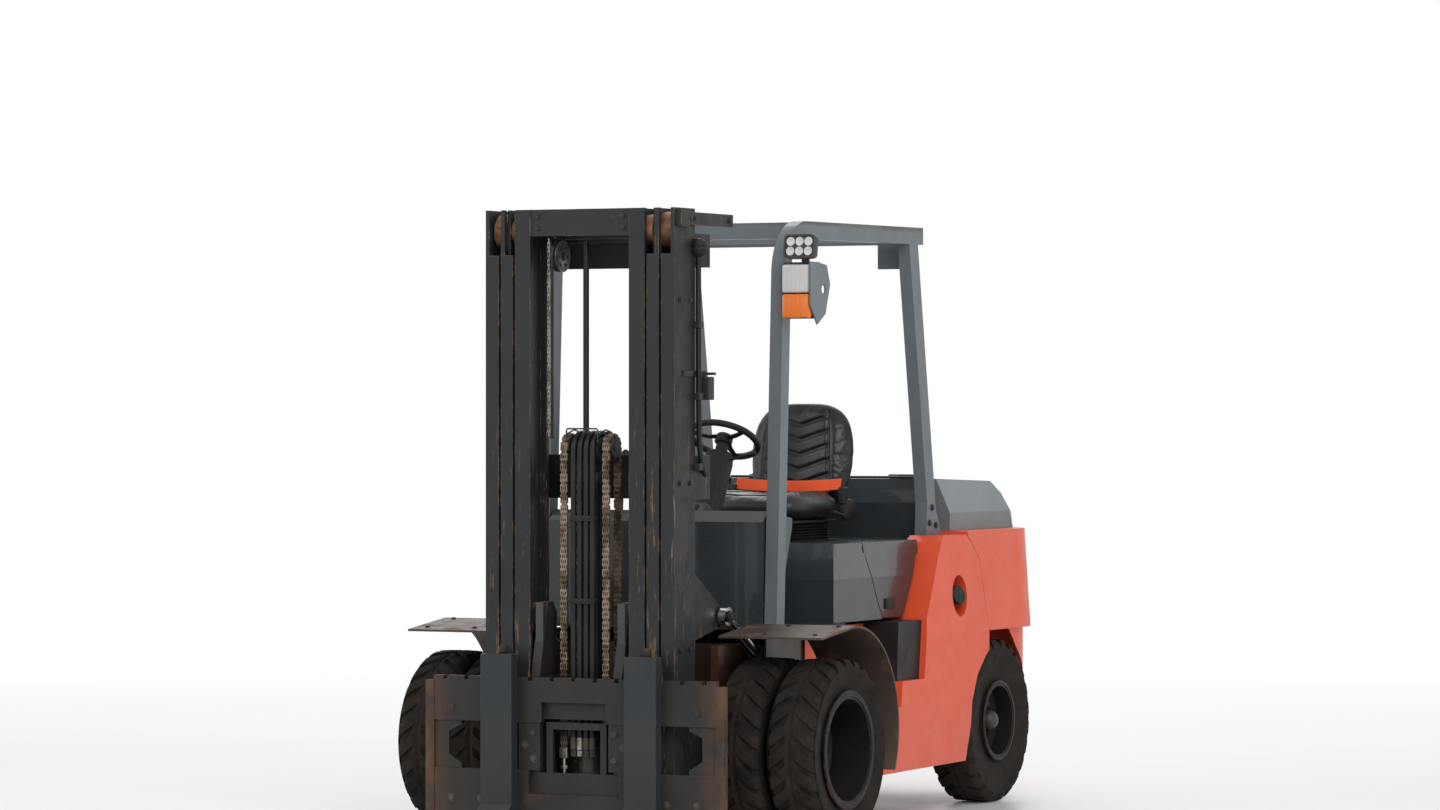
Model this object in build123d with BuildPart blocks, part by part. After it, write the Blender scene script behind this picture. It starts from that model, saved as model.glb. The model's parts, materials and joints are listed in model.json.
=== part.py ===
"""Counterbalance forklift with twin front wheels and a three-stage mast. Millimetres, +Z up."""
import os
from math import cos, hypot, radians, sin

from build123d import *

# Layout: the truck faces -Y, its left side is +X, and the ground is Z = 0
wheelbase = 1965.0
front_overhang = 576.0
fork_length = 1200.0
rear_overhang = 555.0
front_axle_y = (front_overhang + fork_length - wheelbase - rear_overhang) / 2
rear_axle_y = front_axle_y + wheelbase
truck_rear = rear_axle_y + rear_overhang
fit_gap = 0.05
rest_gap = 0.3
move_gap = 6.0

# Wheels
front_tyre_radius = 330.0
front_tyre_width = 190.0
front_outer_face = 856.0
twin_gap = 30.0
front_rim_radius = 200.0
rim_wall = 7.0
rim_flange = 18.0
rear_rim_flange = 8.0
rear_tyre_radius = 325.0
rear_tyre_width = 185.0
rear_outer_face = 605.0
rear_rim_radius = 152.0
tyre_shoulder = 26.0
tread_lugs = 18
groove_width = 15.0
groove_depth = 11.0
groove_reach = 62.0
groove_angle = 32.0
kingpin_x = 375.0
kingpin_radius = 16.0
spindle_radius = 45.0
rear_spindle_radius = 28.0
axle_pivot_top = 470.0
axle_fork_low = 247.0
axle_fork_high = 403.0
axle_fork_thick = 40.0

# Mast
mast_top = 2291.0
mast_bottom = 130.0
mast_half_width = 385.5
mast_front = front_axle_y - 484.0
outer_depth = 165.0
inner_depth = 145.0
outer_rail_width = 54.0
middle_rail_width = 49.0
inner_rail_width = 63.0
rail_space = 9.0
flange_thick = 18.0
web_thick = 13.0
cross_plate = 15.0
notch_height = 165.0
notch_strip = 15.0
tie_height = 120.0
middle_tie_z = 1240.0
middle_tie_height = 160.0
lift_foot_top = 185.0
lift_barrel_radius = 42.0
lift_barrel_space = 331.0
lift_rod_radius = 27.0
tilt_pivot_y = front_axle_y - 150.0
tilt_pivot_z = 300.0
tilt_pin_y = front_axle_y - 78.0
tilt_pin_z = 808.0
tilt_pin_x = 390.0
tilt_pin_radius = 17.0
tilt_foot_y = front_axle_y + 520.0
tilt_foot_z = 470.0
tilt_foot_pin = 15.0
tilt_barrel_radius = 34.0
tilt_barrel_length = 400.0
tilt_rod_radius = 20.0

# Carriage and forks
fork_width = 128.0
fork_thick = 45.0
fork_centre = 293.0
shank_top = 679.0
fork_ground_gap = 60.0
carriage_half_width = 609.0
end_plate = 35.0
top_bar_low = 433.0
top_bar_high = 596.0
low_bar_high = 259.0
low_bar_low = 95.0
frame_plate = 25.0
frame_recess = 7.0
back_plate = 16.0
window_inner = 464.0
window_notch = 517.0
centre_window = 131.0
hose_window = 183.0
lock_notch_pitch = 88.0
lock_notch_width = 18.0
lock_notch_depth = 14.0
chain_x = 86.0
crosshead_z = 1498.0
upright_top = 868.0

# Overhead guard
roof_half_width = 503.0
roof_top = 2262.0
guard_depth = 80.0
guard_width = 50.0
roof_bend = 170.0
pillar_foot_y = front_axle_y + 150.0
pillar_top_y = front_axle_y + 215.0
rear_pillar_top_y = front_axle_y + 1345.0
rear_pillar_foot_y = front_axle_y + 1538.0
roof_slats = 7
slat_pitch = 125.0
lamp_bracket_y = front_axle_y + 186.0

# Body
body_half_width = 620.0
body_inner = 446.0
body_bottom = 178.0
body_lean = 24.0
body_bulge_z = 690.0
body_side_top = 1072.0
step_top = 430.0
step_rear = front_axle_y + 975.0
step_panel_low = 527.0
floor_top = 762.0
floor_thick = 10.0
floor_half_width = 560.0
hood_half_width = 520.0
hood_top = 1058.0
hood_shoulder_z = 925.0
hood_lean = 20.0
hood_front = front_axle_y + 576.0
hood_split = front_axle_y + 873.0
hood_rear = front_axle_y + 1585.0
hood_skirt_rear = front_axle_y + 1385.0
hood_deck_half = 440.0
hood_hinge_y = front_axle_y + 1690.0
hood_hinge_z = 1300.0
hinge_split = 300.0
hinge_radius = 8.0
hinge_pin = 4.5
panel = 14.0
cowl_gap = 7.0
cowl_front = front_axle_y + 120.0
cowl_top = 1190.0
cowl_half_width = roof_half_width - guard_width - cowl_gap
fender_outer = 853.0
fender_inner = 438.0
fender_front = 236.0
fender_sheet = 8.0
side_plate = 8.0
rail_inner = 320.0
rail_thick = 30.0
filler_y = front_axle_y + 1550.0
filler_z = 835.0
filler_width = 140.0
filler_height = 162.0
filler_depth = 80.0

# Counterweight
seam_low_y = front_axle_y + 1821.0
seam_top_y = front_axle_y + 1640.0
seam_gap = 2.0
counterweight_bottom = 260.0
counterweight_top = 1085.0
counterweight_corner = 350.0
counterweight_step = 24.0
bay_half_width = 330.0
bay_floor = 720.0
bay_rear = front_axle_y + 2300.0
tow_pin_radius = 20.0
tow_pin_inset = 80.0
cover_top = 1290.0
cover_half_width = 500.0
cover_front = front_axle_y + 1705.0
cover_rear = front_axle_y + 2340.0

# Seat and steering
seat_half_width = 235.0
seat_front = front_axle_y + 852.0
seat_low = 1137.0
seat_high = 1250.0
seat_back_front = front_axle_y + 1345.0
seat_back_top = 1600.0
steering_y = front_axle_y + 700.0
steering_z = 1450.0
steering_tilt = 30.0
steering_radius = 145.0
steering_hub = 40.0
steering_grip = 13.0


def block(x_span, y_span, z_span, mode=Mode.ADD):
    """A box between two corners, given as spans along X, Y and Z."""
    size = [high - low for low, high in (x_span, y_span, z_span)]
    centre = [(high + low) / 2 for low, high in (x_span, y_span, z_span)]
    with Locations(tuple(centre)):
        Box(*size, mode=mode)


def rod(start, end, radius, mode=Mode.ADD):
    """A round bar from one point to another."""
    axis = Vector(*end) - Vector(*start)
    with Locations(Plane(origin=start, z_dir=axis)):
        Cylinder(radius, axis.length, align=(Align.CENTER, Align.CENTER, Align.MIN), mode=mode)


def side_slab(points, x_low, x_high, mode=Mode.ADD):
    """A slab whose side outline is given as (y, z) points."""
    with BuildSketch(Plane.YZ.offset(x_low)) as outline:
        with BuildLine():
            Polyline(*points, close=True)
        make_face()
    extrude(outline.sketch, amount=x_high - x_low, dir=(1, 0, 0), mode=mode)


def front_slab(points, y_low, y_high, mode=Mode.ADD):
    """A slab whose front outline is given as (x, z) points."""
    with BuildSketch(Plane(origin=(0, y_low, 0), x_dir=(1, 0, 0), z_dir=(0, -1, 0))) as outline:
        with BuildLine():
            Polyline(*points, close=True)
        make_face()
    extrude(outline.sketch, amount=y_high - y_low, dir=(0, 1, 0), mode=mode)


def turned(points, centre, mode=Mode.ADD):
    """A ring turned about an axis along X; points are (x, radius)."""
    with BuildSketch(Plane(origin=centre, x_dir=(1, 0, 0), z_dir=(0, 0, 1))) as ring:
        with BuildLine():
            Polyline(*[(x - centre[0], r) for x, r in points], close=True)
        make_face()
    revolve(ring.sketch, axis=Axis(centre, (1, 0, 0)), mode=mode)


def save(part, label):
    part.label = label
    export_step(part, f"parts/{label}.step")


# Tyres and wheels
def tyre_ring(x_low, x_high, outer, bore, flange, centre):
    """A solid tyre with a step at each bead for the rim's flange, and slanted shoulder grooves."""
    bead = tyre_shoulder / 2
    turned([
        (x_low + bead, bore), (x_high - bead, bore),
        (x_high - bead, bore + flange + 2), (x_high, bore + flange + bead),
        (x_high, outer - tyre_shoulder * 1.3), (x_high - tyre_shoulder, outer),
        (x_low + tyre_shoulder, outer), (x_low, outer - tyre_shoulder * 1.3),
        (x_low, bore + flange + bead), (x_low + bead, bore + flange + 2),
    ], centre)
    for face, turn in ((x_low, groove_angle), (x_high, -groove_angle)):
        with Locations(Plane(origin=(face, centre[1], centre[2]), x_dir=(0, 1, 0), z_dir=(1, 0, 0))):
            with PolarLocations(outer, tread_lugs):
                Box(2 * groove_depth, groove_width, 2 * groove_reach, rotation=(turn, 0, 0),
                    mode=Mode.SUBTRACT)


front_inner_out = front_outer_face - front_tyre_width - twin_gap
front_inner_in = front_inner_out - front_tyre_width
front_centre = (0, front_axle_y, front_tyre_radius)
rear_centre = (0, rear_axle_y, rear_tyre_radius)
rear_inner_face = rear_outer_face - rear_tyre_width
rim_inset = 6.0
disc_lap = 30.0
disc_radius = 150.0
hub_back = 80.0
spindle_end = 40.0
disc_thick = 12.0
disc_x = front_inner_out + twin_gap / 2
hub_radius = 95.0
hub_reach = 740.0
rear_disc_inset = 95.0


def front_tyre_pair():
    with BuildPart() as tyres:
        for low in (front_inner_in, front_outer_face - front_tyre_width):
            tyre_ring(low, low + front_tyre_width, front_tyre_radius, front_rim_radius, rim_flange,
                      front_centre)
    return tyres.part


def rim_barrel(x_low, x_high, radius, flange, centre):
    """A rim's barrel, with a lip at each edge that holds the tyre's bead."""
    barrel = radius - rest_gap
    turned([
        (x_low, barrel - 2 * rim_wall), (x_high, barrel - 2 * rim_wall), (x_high, radius + flange),
        (x_high - rim_wall, barrel), (x_low + rim_wall, barrel), (x_low, radius + flange),
    ], centre)


def front_rim_pair():
    """Two rims bolted back to back on a hub that turns on the axle's spindle."""
    inner_edge = front_inner_out - rim_inset
    outer_edge = front_outer_face - front_tyre_width + rim_inset
    seat = front_rim_radius - rest_gap - rim_wall
    with BuildPart() as rims:
        rim_barrel(front_inner_in + rim_inset, inner_edge, front_rim_radius, rim_flange, front_centre)
        rim_barrel(outer_edge, front_outer_face - rim_inset, front_rim_radius, rim_flange, front_centre)
        turned([
            (disc_x - disc_thick, spindle_radius + fit_gap), (disc_x + disc_thick, spindle_radius + fit_gap),
            (disc_x + disc_thick, disc_radius), (outer_edge + disc_lap, seat), (inner_edge - disc_lap, seat),
            (disc_x - disc_thick, disc_radius),
        ], front_centre)
        turned([
            (disc_x - hub_back, spindle_radius + fit_gap), (disc_x + spindle_end, spindle_radius + fit_gap),
            (disc_x + spindle_end, 0), (hub_reach, 0), (hub_reach, hub_radius * 0.7),
            (disc_x + disc_thick, hub_radius), (disc_x - hub_back, hub_radius),
        ], front_centre)
    return rims.part


def rear_tyre():
    with BuildPart() as tyre:
        tyre_ring(rear_inner_face, rear_outer_face, rear_tyre_radius, rear_rim_radius, rear_rim_flange,
                  rear_centre)
    return tyre.part


def rear_rim():
    disc = rear_inner_face + rear_disc_inset
    bore = rear_spindle_radius + fit_gap
    with BuildPart() as rim:
        rim_barrel(rear_inner_face + rim_inset, rear_outer_face - rim_inset, rear_rim_radius,
                   rear_rim_flange,
                   rear_centre)
        turned([
            (disc - disc_thick, bore), (disc, bore), (disc, 110),
            (disc + 16, rear_rim_radius - 2 * rim_wall), (disc, rear_rim_radius - rim_wall),
            (disc - disc_thick, 110),
        ], rear_centre)
        turned([
            (disc - 50, bore), (disc + 20, bore), (disc + 20, 0), (disc + 62, 0), (disc + 58, 24),
            (disc + 46, 38), (disc, 58), (disc - 50, 58),
        ], rear_centre)
    return rim.part


# Drive axle
axle_tube_radius = 88.0
brake_radius = 150.0
gear_case_radius = 150.0
gear_case_half = 160.0
pivot_ear_low = 290.0
pivot_ear_high = 338.0
mast_ear_low = 344.0
mast_ear_high = mast_half_width
pivot_pin_radius = 30.0


def drive_axle():
    """Axle housing with a round gear case, spindles, brake backplates and the mast's pivot ears."""
    z = front_tyre_radius
    with BuildPart() as axle:
        reaches = (
            (0, front_inner_in - 12, axle_tube_radius), (front_inner_in - 12, front_inner_in + 6,
                                                         brake_radius),
            (front_inner_in + 6, disc_x - hub_back - 10, 70),
            (disc_x - hub_back - 10, disc_x + spindle_end - 4,
                                                               spindle_radius),
        )
        for low, high, radius in reaches:
            rod((low, front_axle_y, z), (high, front_axle_y, z), radius)
        side_slab([
            (tilt_pivot_y - 28, tilt_pivot_z - 45), (front_axle_y, z - axle_tube_radius),
            (front_axle_y, z + axle_tube_radius - 10), (tilt_pivot_y, tilt_pivot_z + 60),
            (tilt_pivot_y - 45, tilt_pivot_z + 45), (tilt_pivot_y - 45, tilt_pivot_z - 10),
        ], pivot_ear_low, pivot_ear_high)
        rod((pivot_ear_high, tilt_pivot_y, tilt_pivot_z),
            (mast_ear_high + move_gap, tilt_pivot_y, tilt_pivot_z),
            pivot_pin_radius)
        mirror(about=Plane.YZ)
        turned([(-gear_case_half, 0), (-gear_case_half, axle_tube_radius),
                (-gear_case_half / 2, gear_case_radius),
                (gear_case_half / 2, gear_case_radius), (gear_case_half, axle_tube_radius),
                (gear_case_half, 0)],
               front_centre)
    return axle.part


# Mast
outer_in = mast_half_width - outer_rail_width
middle_out = outer_in - rail_space
middle_in = middle_out - middle_rail_width
inner_out = middle_in - rail_space
inner_in = inner_out - inner_rail_width
middle_web = (middle_out + middle_in) / 2
inner_web = (inner_out + inner_in) / 2
mast_back = mast_front + outer_depth
roller_y = mast_front + outer_depth / 2
inner_roller_y = mast_front + inner_depth / 2
inner_roller_radius = (inner_depth - 2 * flange_thick) / 2 - rest_gap
mast_roller_radius = (outer_depth - 2 * flange_thick) / 2 - rest_gap
top_roller_z = mast_top - 78.0
low_roller_z = mast_bottom + 80.0
cylinder_y = mast_back + lift_barrel_radius + 5
cylinder_x = 290.0
tie_back = cylinder_y + lift_barrel_radius + 5
tie_thick = 28.0


def rail_pair(out_x, in_x, web_low, web_high, depth):
    """Two upright rails: a web with a flange at the front and at the back."""
    with BuildSketch(Plane.XY.offset(mast_bottom)) as section:
        for side in (1, -1):
            for y in (mast_front + flange_thick / 2, mast_front + depth - flange_thick / 2):
                with Locations((side * (out_x + in_x) / 2, y)):
                    Rectangle(out_x - in_x, flange_thick)
            with Locations((side * (web_low + web_high) / 2, mast_front + depth / 2)):
                Rectangle(web_high - web_low, depth)
    extrude(section.sketch, amount=mast_top - mast_bottom)


def roller_pair(x_low, x_high, y, z, radius, stub_x):
    for side in (1, -1):
        rod((side * x_low, y, z), (side * x_high, y, z), radius)
        rod((side * stub_x, y, z), (side * x_low, y, z), 20)


def flange_notch(x_low, x_high):
    """Cut the front flanges back at the top, where the main rollers show."""
    for side in (1, -1):
        spans = sorted((side * x_low, side * x_high))
        block(spans, (mast_front - 1, mast_front + flange_thick + 1),
              (mast_top - notch_height, mast_top + 1),
              Mode.SUBTRACT)


def outer_mast():
    """Outer channels tied behind the lift cylinders, with pivot and tilt ears and a stay at the top."""
    ties = (
        (mast_bottom, mast_bottom + 140), (middle_tie_z, middle_tie_z + middle_tie_height),
        (mast_top - 90 - tie_height, mast_top - 90),
    )
    with BuildPart() as mast:
        rail_pair(mast_half_width, outer_in, mast_half_width - web_thick, mast_half_width, outer_depth)
        flange_notch(outer_in - 1, mast_half_width - notch_strip)
        for low, high in ties:
            block((-mast_half_width, mast_half_width), (tie_back, tie_back + tie_thick), (low, high))
            for side in (1, -1):
                spans = sorted((side * (mast_half_width - 22), side * mast_half_width))
                block(spans, (mast_back - 2, tie_back + 2), (low, high))
        roller_pair(middle_web + web_thick / 2 + 3, mast_half_width - web_thick - 12, roller_y, top_roller_z,
                    mast_roller_radius, mast_half_width - web_thick + 1)
        for side in (1, -1):
            low, high = sorted((side * mast_ear_low, side * mast_ear_high))
            side_slab([
                (mast_back - 2, tilt_pivot_z - 130), (tilt_pivot_y + 18, tilt_pivot_z - 52),
                (tilt_pivot_y + 52, tilt_pivot_z - 18), (tilt_pivot_y + 52, tilt_pivot_z + 18),
                (tilt_pivot_y + 18, tilt_pivot_z + 52), (mast_back - 2, tilt_pivot_z + 170),
            ], low, high)
            rod((low - 1, tilt_pivot_y, tilt_pivot_z), (high + 1, tilt_pivot_y, tilt_pivot_z),
                pivot_pin_radius + fit_gap, Mode.SUBTRACT)
            low, high = sorted((side * (outer_in + 13), side * (tilt_pin_x - 22)))
            side_slab([
                (mast_back - 10, tilt_pin_z - 88), (tilt_pin_y, tilt_pin_z - 38),
                (tilt_pin_y + 38, tilt_pin_z - 12),
                (tilt_pin_y + 38, tilt_pin_z + 20), (tilt_pin_y, tilt_pin_z + 40),
                (mast_back - 10, tilt_pin_z + 187),
            ], low, high)
            rod((side * (tilt_pin_x - 24), tilt_pin_y, tilt_pin_z),
                (side * (tilt_pin_x + 22), tilt_pin_y, tilt_pin_z), tilt_pin_radius)
        block((-outer_in, outer_in), (mast_back + 1, tie_back + 2), (mast_bottom, lift_foot_top))
        block((mast_half_width - 1, mast_half_width + 22), (mast_front + 12, mast_front + 80),
              (mast_top - 66, mast_top - 6))
        block((mast_half_width + 4, mast_half_width + 16), (mast_front + 70, mast_front + 445),
              (mast_top - 60, mast_top - 14))
    return mast.part


def lift_barrels():
    top = mast_top - lift_barrel_space
    with BuildPart() as barrels:
        for side in (1, -1):
            rod((side * cylinder_x, cylinder_y, lift_foot_top + rest_gap),
                (side * cylinder_x, cylinder_y, top),
                lift_barrel_radius)
            rod((side * cylinder_x, cylinder_y, lift_foot_top + 30),
                (side * cylinder_x, cylinder_y, top + 1),
                lift_rod_radius + 0.5, Mode.SUBTRACT)
    return barrels.part


def middle_mast():
    """Middle beams with rollers at their feet, a top tie over the cylinders and a foot tie."""
    with BuildPart() as mast:
        rail_pair(middle_out, middle_in, middle_web - web_thick / 2, middle_web + web_thick / 2, outer_depth)
        flange_notch(middle_in - 1, middle_out - notch_strip)
        block((-middle_in, middle_in), (mast_back - cross_plate, mast_back), (mast_top - 120, mast_top))
        block((-middle_in, middle_in), (mast_back - cross_plate, mast_back),
              (mast_bottom + 60, mast_bottom + 190))
        for side in (1, -1):
            low, high = sorted((side * (cylinder_x - 42), side * (middle_out - 2)))
            block((low, high), (mast_back - 2, cylinder_y + 40), (mast_top - 60, mast_top - 25))
        roller_pair(middle_web + web_thick / 2 + 3, mast_half_width - web_thick - 6, roller_y, low_roller_z,
                    mast_roller_radius, middle_web)
        roller_pair(inner_web + web_thick / 2 + 4, middle_web - web_thick / 2 - 4, inner_roller_y,
                    top_roller_z,
                    inner_roller_radius, middle_web)
    return mast.part


def lift_rods():
    with BuildPart() as rods:
        for side in (1, -1):
            rod((side * cylinder_x, cylinder_y, lift_foot_top + 50),
                (side * cylinder_x, cylinder_y, mast_top - 60),
                lift_rod_radius)
    return rods.part


free_cylinder_y = mast_front + 92.0
free_barrel_radius = 46.0
free_rod_radius = 34.0
free_barrel_top = crosshead_z - 163.0
free_foot_top = mast_bottom + 60.0
hose_sheave_radius = 58.0
hose_sheave_x = -133.0
hose_sheave_wide = 20.0


def inner_mast():
    """Inner beams, the crossbar that shows at the top, and the foot that carries the free-lift cylinder."""
    back = mast_front + inner_depth
    with BuildPart() as mast:
        rail_pair(inner_out, inner_in, inner_web - web_thick / 2, inner_web + web_thick / 2, inner_depth)
        block((-inner_in, inner_in), (mast_front + 4, mast_front + 44), (mast_top - 96, mast_top))
        block((-inner_in, inner_in), (back - 20, back), (mast_top - 106, mast_top - 40))
        block((-inner_in, inner_in), (mast_front + 30, back), (mast_bottom + 20, free_foot_top))
        roller_pair(inner_web + web_thick / 2 + 3, middle_web - web_thick / 2 - 6, inner_roller_y,
                    low_roller_z,
                    inner_roller_radius, inner_web)
        axle_y = mast_front + inner_depth / 2 + 14
        sheave = (hose_sheave_x, axle_y, mast_top - 168)
        rod(sheave, (hose_sheave_x + hose_sheave_wide, axle_y, mast_top - 168), hose_sheave_radius)
        block((hose_sheave_x + 4, hose_sheave_x + hose_sheave_wide - 4), (axle_y - 25, axle_y + 25),
              (mast_top - 110, mast_top - 94))
        block((hose_sheave_x + 4, hose_sheave_x + hose_sheave_wide - 4), (mast_front + 40, back - 18),
              (mast_top - 104, mast_top - 60))
    return mast.part


def free_lift_barrel():
    with BuildPart() as barrel:
        rod((0, free_cylinder_y, free_foot_top), (0, free_cylinder_y, free_barrel_top), free_barrel_radius)
        rod((0, free_cylinder_y, free_foot_top + 50), (0, free_cylinder_y, free_barrel_top + 1),
            free_rod_radius + 0.5, Mode.SUBTRACT)
    return barrel.part


sheave_radius = 45.0
sheave_z = crosshead_z - 70.0
chain_y = free_cylinder_y - sheave_radius
hose_radius = 11.0
hose_pitch = 26.0
hose_pack_half = 54.0
hose_bend = 61.0
hose_leave = 55.0
hose_roller_z = crosshead_z - hose_bend - hose_radius - 8.0
hose_foot = 330.0
chain_wide = 30.0
chain_thick = 14.0


def crosshead():
    """The free-lift rod's head with a chain sheave each side, a hose roller and the hose guard over it."""
    with BuildPart() as head:
        rod((0, free_cylinder_y, free_foot_top + 110), (0, free_cylinder_y, sheave_z), free_rod_radius)
        block((-30, 30), (free_cylinder_y - 26, free_cylinder_y + 26), (sheave_z - 40, sheave_z + 18))
        rod((-chain_x - 20, free_cylinder_y, sheave_z), (chain_x + 20, free_cylinder_y, sheave_z), 16)
        for side in (1, -1):
            rod((side * (chain_x - 17), free_cylinder_y, sheave_z),
                (side * (chain_x + 17), free_cylinder_y, sheave_z),
                sheave_radius - chain_thick / 2)
        rod((-hose_pack_half, free_cylinder_y, hose_roller_z),
            (hose_pack_half, free_cylinder_y, hose_roller_z),
            hose_bend - hose_radius - rest_gap)
        clamp = hose_end(hose_roller_z)
        block((-hose_pack_half, hose_pack_half), (clamp[0] + 7, clamp[0] + 18),
              (sheave_z - 10, clamp[1] + 12))
        block((-hose_pack_half, hose_pack_half), (free_cylinder_y + 20, clamp[0] + 18),
              (sheave_z - 10, sheave_z + 8))
    return head.part


def hose_end(z_centre):
    """Where a hose leaves the roller at the back, as (y, z)."""
    return (free_cylinder_y + hose_bend * cos(radians(hose_leave)),
            z_centre + hose_bend * sin(radians(hose_leave)))


def lift_hoses():
    """Four hoses that climb in front of the free-lift cylinder and bend over the crosshead's roller."""
    front = free_cylinder_y - hose_bend
    end = hose_end(hose_roller_z)
    middle_turn = radians((180 + hose_leave) / 2)
    middle = (free_cylinder_y + hose_bend * cos(middle_turn), hose_roller_z + hose_bend * sin(middle_turn))
    with BuildPart() as hoses:
        for index in range(4):
            x = (index - 1.5) * hose_pitch
            with BuildLine() as path:
                Line((x, front, hose_foot), (x, front, hose_roller_z))
                ThreePointArc((x, front, hose_roller_z), (x, *middle), (x, *end))
            with BuildSketch(Plane(origin=path.line @ 0, z_dir=path.line % 0)) as section:
                Circle(hose_radius)
            sweep(section.sketch, path=path.line)
    return hoses.part


def chain_loop(x, y_front, y_back, z_top, z_front, z_back, wide, thick):
    """A chain or hose over a sheave: two straight runs and a half turn."""
    radius = (y_back - y_front) / 2
    with BuildSketch(Plane.YZ.offset(x - wide / 2)) as loop:
        with BuildLine() as path:
            Line((y_front, z_front), (y_front, z_top))
            ThreePointArc((y_front, z_top), (y_front + radius, z_top + radius), (y_back, z_top))
            Line((y_back, z_top), (y_back, z_back))
        trace(line_width=thick)
    extrude(loop.sketch, amount=wide, dir=(1, 0, 0))


def lift_chains():
    with BuildPart() as chains:
        for side in (1, -1):
            chain_loop(side * chain_x, chain_y, free_cylinder_y + sheave_radius, sheave_z, 330, 200,
                       chain_wide, chain_thick)
    return chains.part


# Carriage and forks
frame_front = front_axle_y - front_overhang + fork_thick
frame_back = frame_front + frame_plate
roller_plate_low = 150.0
roller_plate_high = 185.0
hose_frame_half = 122.0
hose_frame_bar = 25.0


def carriage():
    """Roller plates inside the inner beams, the back bars of the side-shifting frame, and a hose frame."""
    back_low = frame_back + rest_gap
    back_high = back_low + back_plate
    upper_bar = (top_bar_low + 12, top_bar_high - 36)
    lower_bar = (low_bar_low + 55, low_bar_high - 9)
    with BuildPart() as frame:
        for low, high in (upper_bar, lower_bar):
            block((-330, 330), (back_low, back_high), (low, high))
        block((-hose_frame_half, hose_frame_half), (back_low, back_high), (top_bar_low - 25, top_bar_low))
        for side in (1, -1):
            spans = sorted((side * (hose_frame_half - hose_frame_bar), side * hose_frame_half))
            block(spans, (back_low, back_high), (lower_bar[0], top_bar_low))
            spans = sorted((side * roller_plate_low, side * roller_plate_high))
            side_slab([
                (back_low, low_bar_low + 110), (mast_front + 110, low_bar_low + 110),
                (mast_front + 110, upright_top - 40), (mast_front + 80, upright_top),
                (mast_front + 40, upright_top), (back_low, top_bar_high + 4),
            ], *spans)
        for z in (low_bar_high + 6, upright_top - 60):
            roller_pair(inner_in + 2, inner_web - web_thick / 2 - 4, inner_roller_y, z, inner_roller_radius,
                        roller_plate_high - 2)
    return frame.part


def fork_frame():
    """Upper bar with fork notches, lower bar, end plates with half-hexagon windows, and inner webs."""
    span = (frame_front, frame_back)
    recessed = (frame_front + frame_recess, frame_back)
    window_top = top_bar_low - 15
    window_low = low_bar_high + 17
    with BuildPart() as frame:
        block((-carriage_half_width + end_plate - 1, carriage_half_width - end_plate + 1), span,
              (top_bar_low, top_bar_high))
        block((-carriage_half_width + end_plate - 1, carriage_half_width - end_plate + 1), span,
              (low_bar_low, low_bar_high))
        for side in (1, -1):
            spans = sorted((side * (carriage_half_width - end_plate), side * carriage_half_width))
            block(spans, (frame_front - 3, frame_back), (low_bar_low, top_bar_high - 18))
            front_slab([
                (side * (carriage_half_width - end_plate + 1), low_bar_high - 1),
                (side * window_inner, low_bar_high - 1),
                (side * window_inner, window_low), (side * window_notch, window_low + 33),
                (side * window_notch, window_top - 25), (side * window_inner, window_top),
                (side * window_inner, top_bar_low + 1), (side * (carriage_half_width - end_plate + 1),
                                                         top_bar_low + 1),
            ], *recessed)
            spans = sorted((side * 140, side * 225))
            block(spans, recessed, (low_bar_high - 1, top_bar_low + 1))
        block((-centre_window, centre_window), (frame_front - 1, frame_back + 1),
              (top_bar_low - 1, top_bar_low + 74),
              Mode.SUBTRACT)
        block((-hose_window, hose_window), (frame_front - 1, frame_back + 1),
              (low_bar_high - 86, low_bar_high + 1),
              Mode.SUBTRACT)
        notches = int(2 * (carriage_half_width - end_plate) / lock_notch_pitch)
        for index in range(notches):
            x = (index - (notches - 1) / 2) * lock_notch_pitch
            block((x - lock_notch_width / 2, x + lock_notch_width / 2), (frame_front - 1, frame_back + 1),
                  (top_bar_high - lock_notch_depth, top_bar_high + 1), Mode.SUBTRACT)
    return frame.part


def fork(side):
    """An L-shaped fork: a shank hooked on the bars and a tapered blade."""
    shank_front = frame_front - fork_thick
    tip = shank_front - fork_length
    with BuildPart() as item:
        side_slab([
            (frame_front - rest_gap, shank_top), (shank_front, shank_top),
            (shank_front, fork_ground_gap + fork_thick + 30),
            (shank_front - 30, fork_ground_gap + fork_thick),
            (tip, fork_ground_gap + fork_thick), (tip, fork_ground_gap + fork_thick - 12),
            (shank_front - 200, fork_ground_gap), (frame_front - 12, fork_ground_gap),
            (frame_front - rest_gap, fork_ground_gap + 12),
        ], side * fork_centre - fork_width / 2, side * fork_centre + fork_width / 2)
        vertical = item.edges().filter_by(Axis.Z).group_by(Axis.Y)[0]
        fillet(vertical, radius=40)
    return item.part


# Tilt cylinders
tilt_axis = Vector(0, tilt_pin_y - tilt_foot_y, tilt_pin_z - tilt_foot_z)
tilt_length = tilt_axis.length
tilt_unit = tilt_axis.normalized()


def tilt_point(side, distance):
    point = Vector(side * tilt_pin_x, tilt_foot_y, tilt_foot_z) + tilt_unit * distance
    return (point.X, point.Y, point.Z)


def tilt_barrel(side):
    with BuildPart() as barrel:
        rod(tilt_point(side, 30), tilt_point(side, tilt_barrel_length), tilt_barrel_radius)
        rod(tilt_point(side, 150), tilt_point(side, tilt_barrel_length + 1), tilt_rod_radius + 0.5,
            Mode.SUBTRACT)
        rod((side * tilt_pin_x - 18, tilt_foot_y, tilt_foot_z),
            (side * tilt_pin_x + 18, tilt_foot_y, tilt_foot_z), 36)
        rod((side * tilt_pin_x - 19, tilt_foot_y, tilt_foot_z),
            (side * tilt_pin_x + 19, tilt_foot_y, tilt_foot_z),
            tilt_foot_pin + fit_gap, Mode.SUBTRACT)
    return barrel.part


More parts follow.
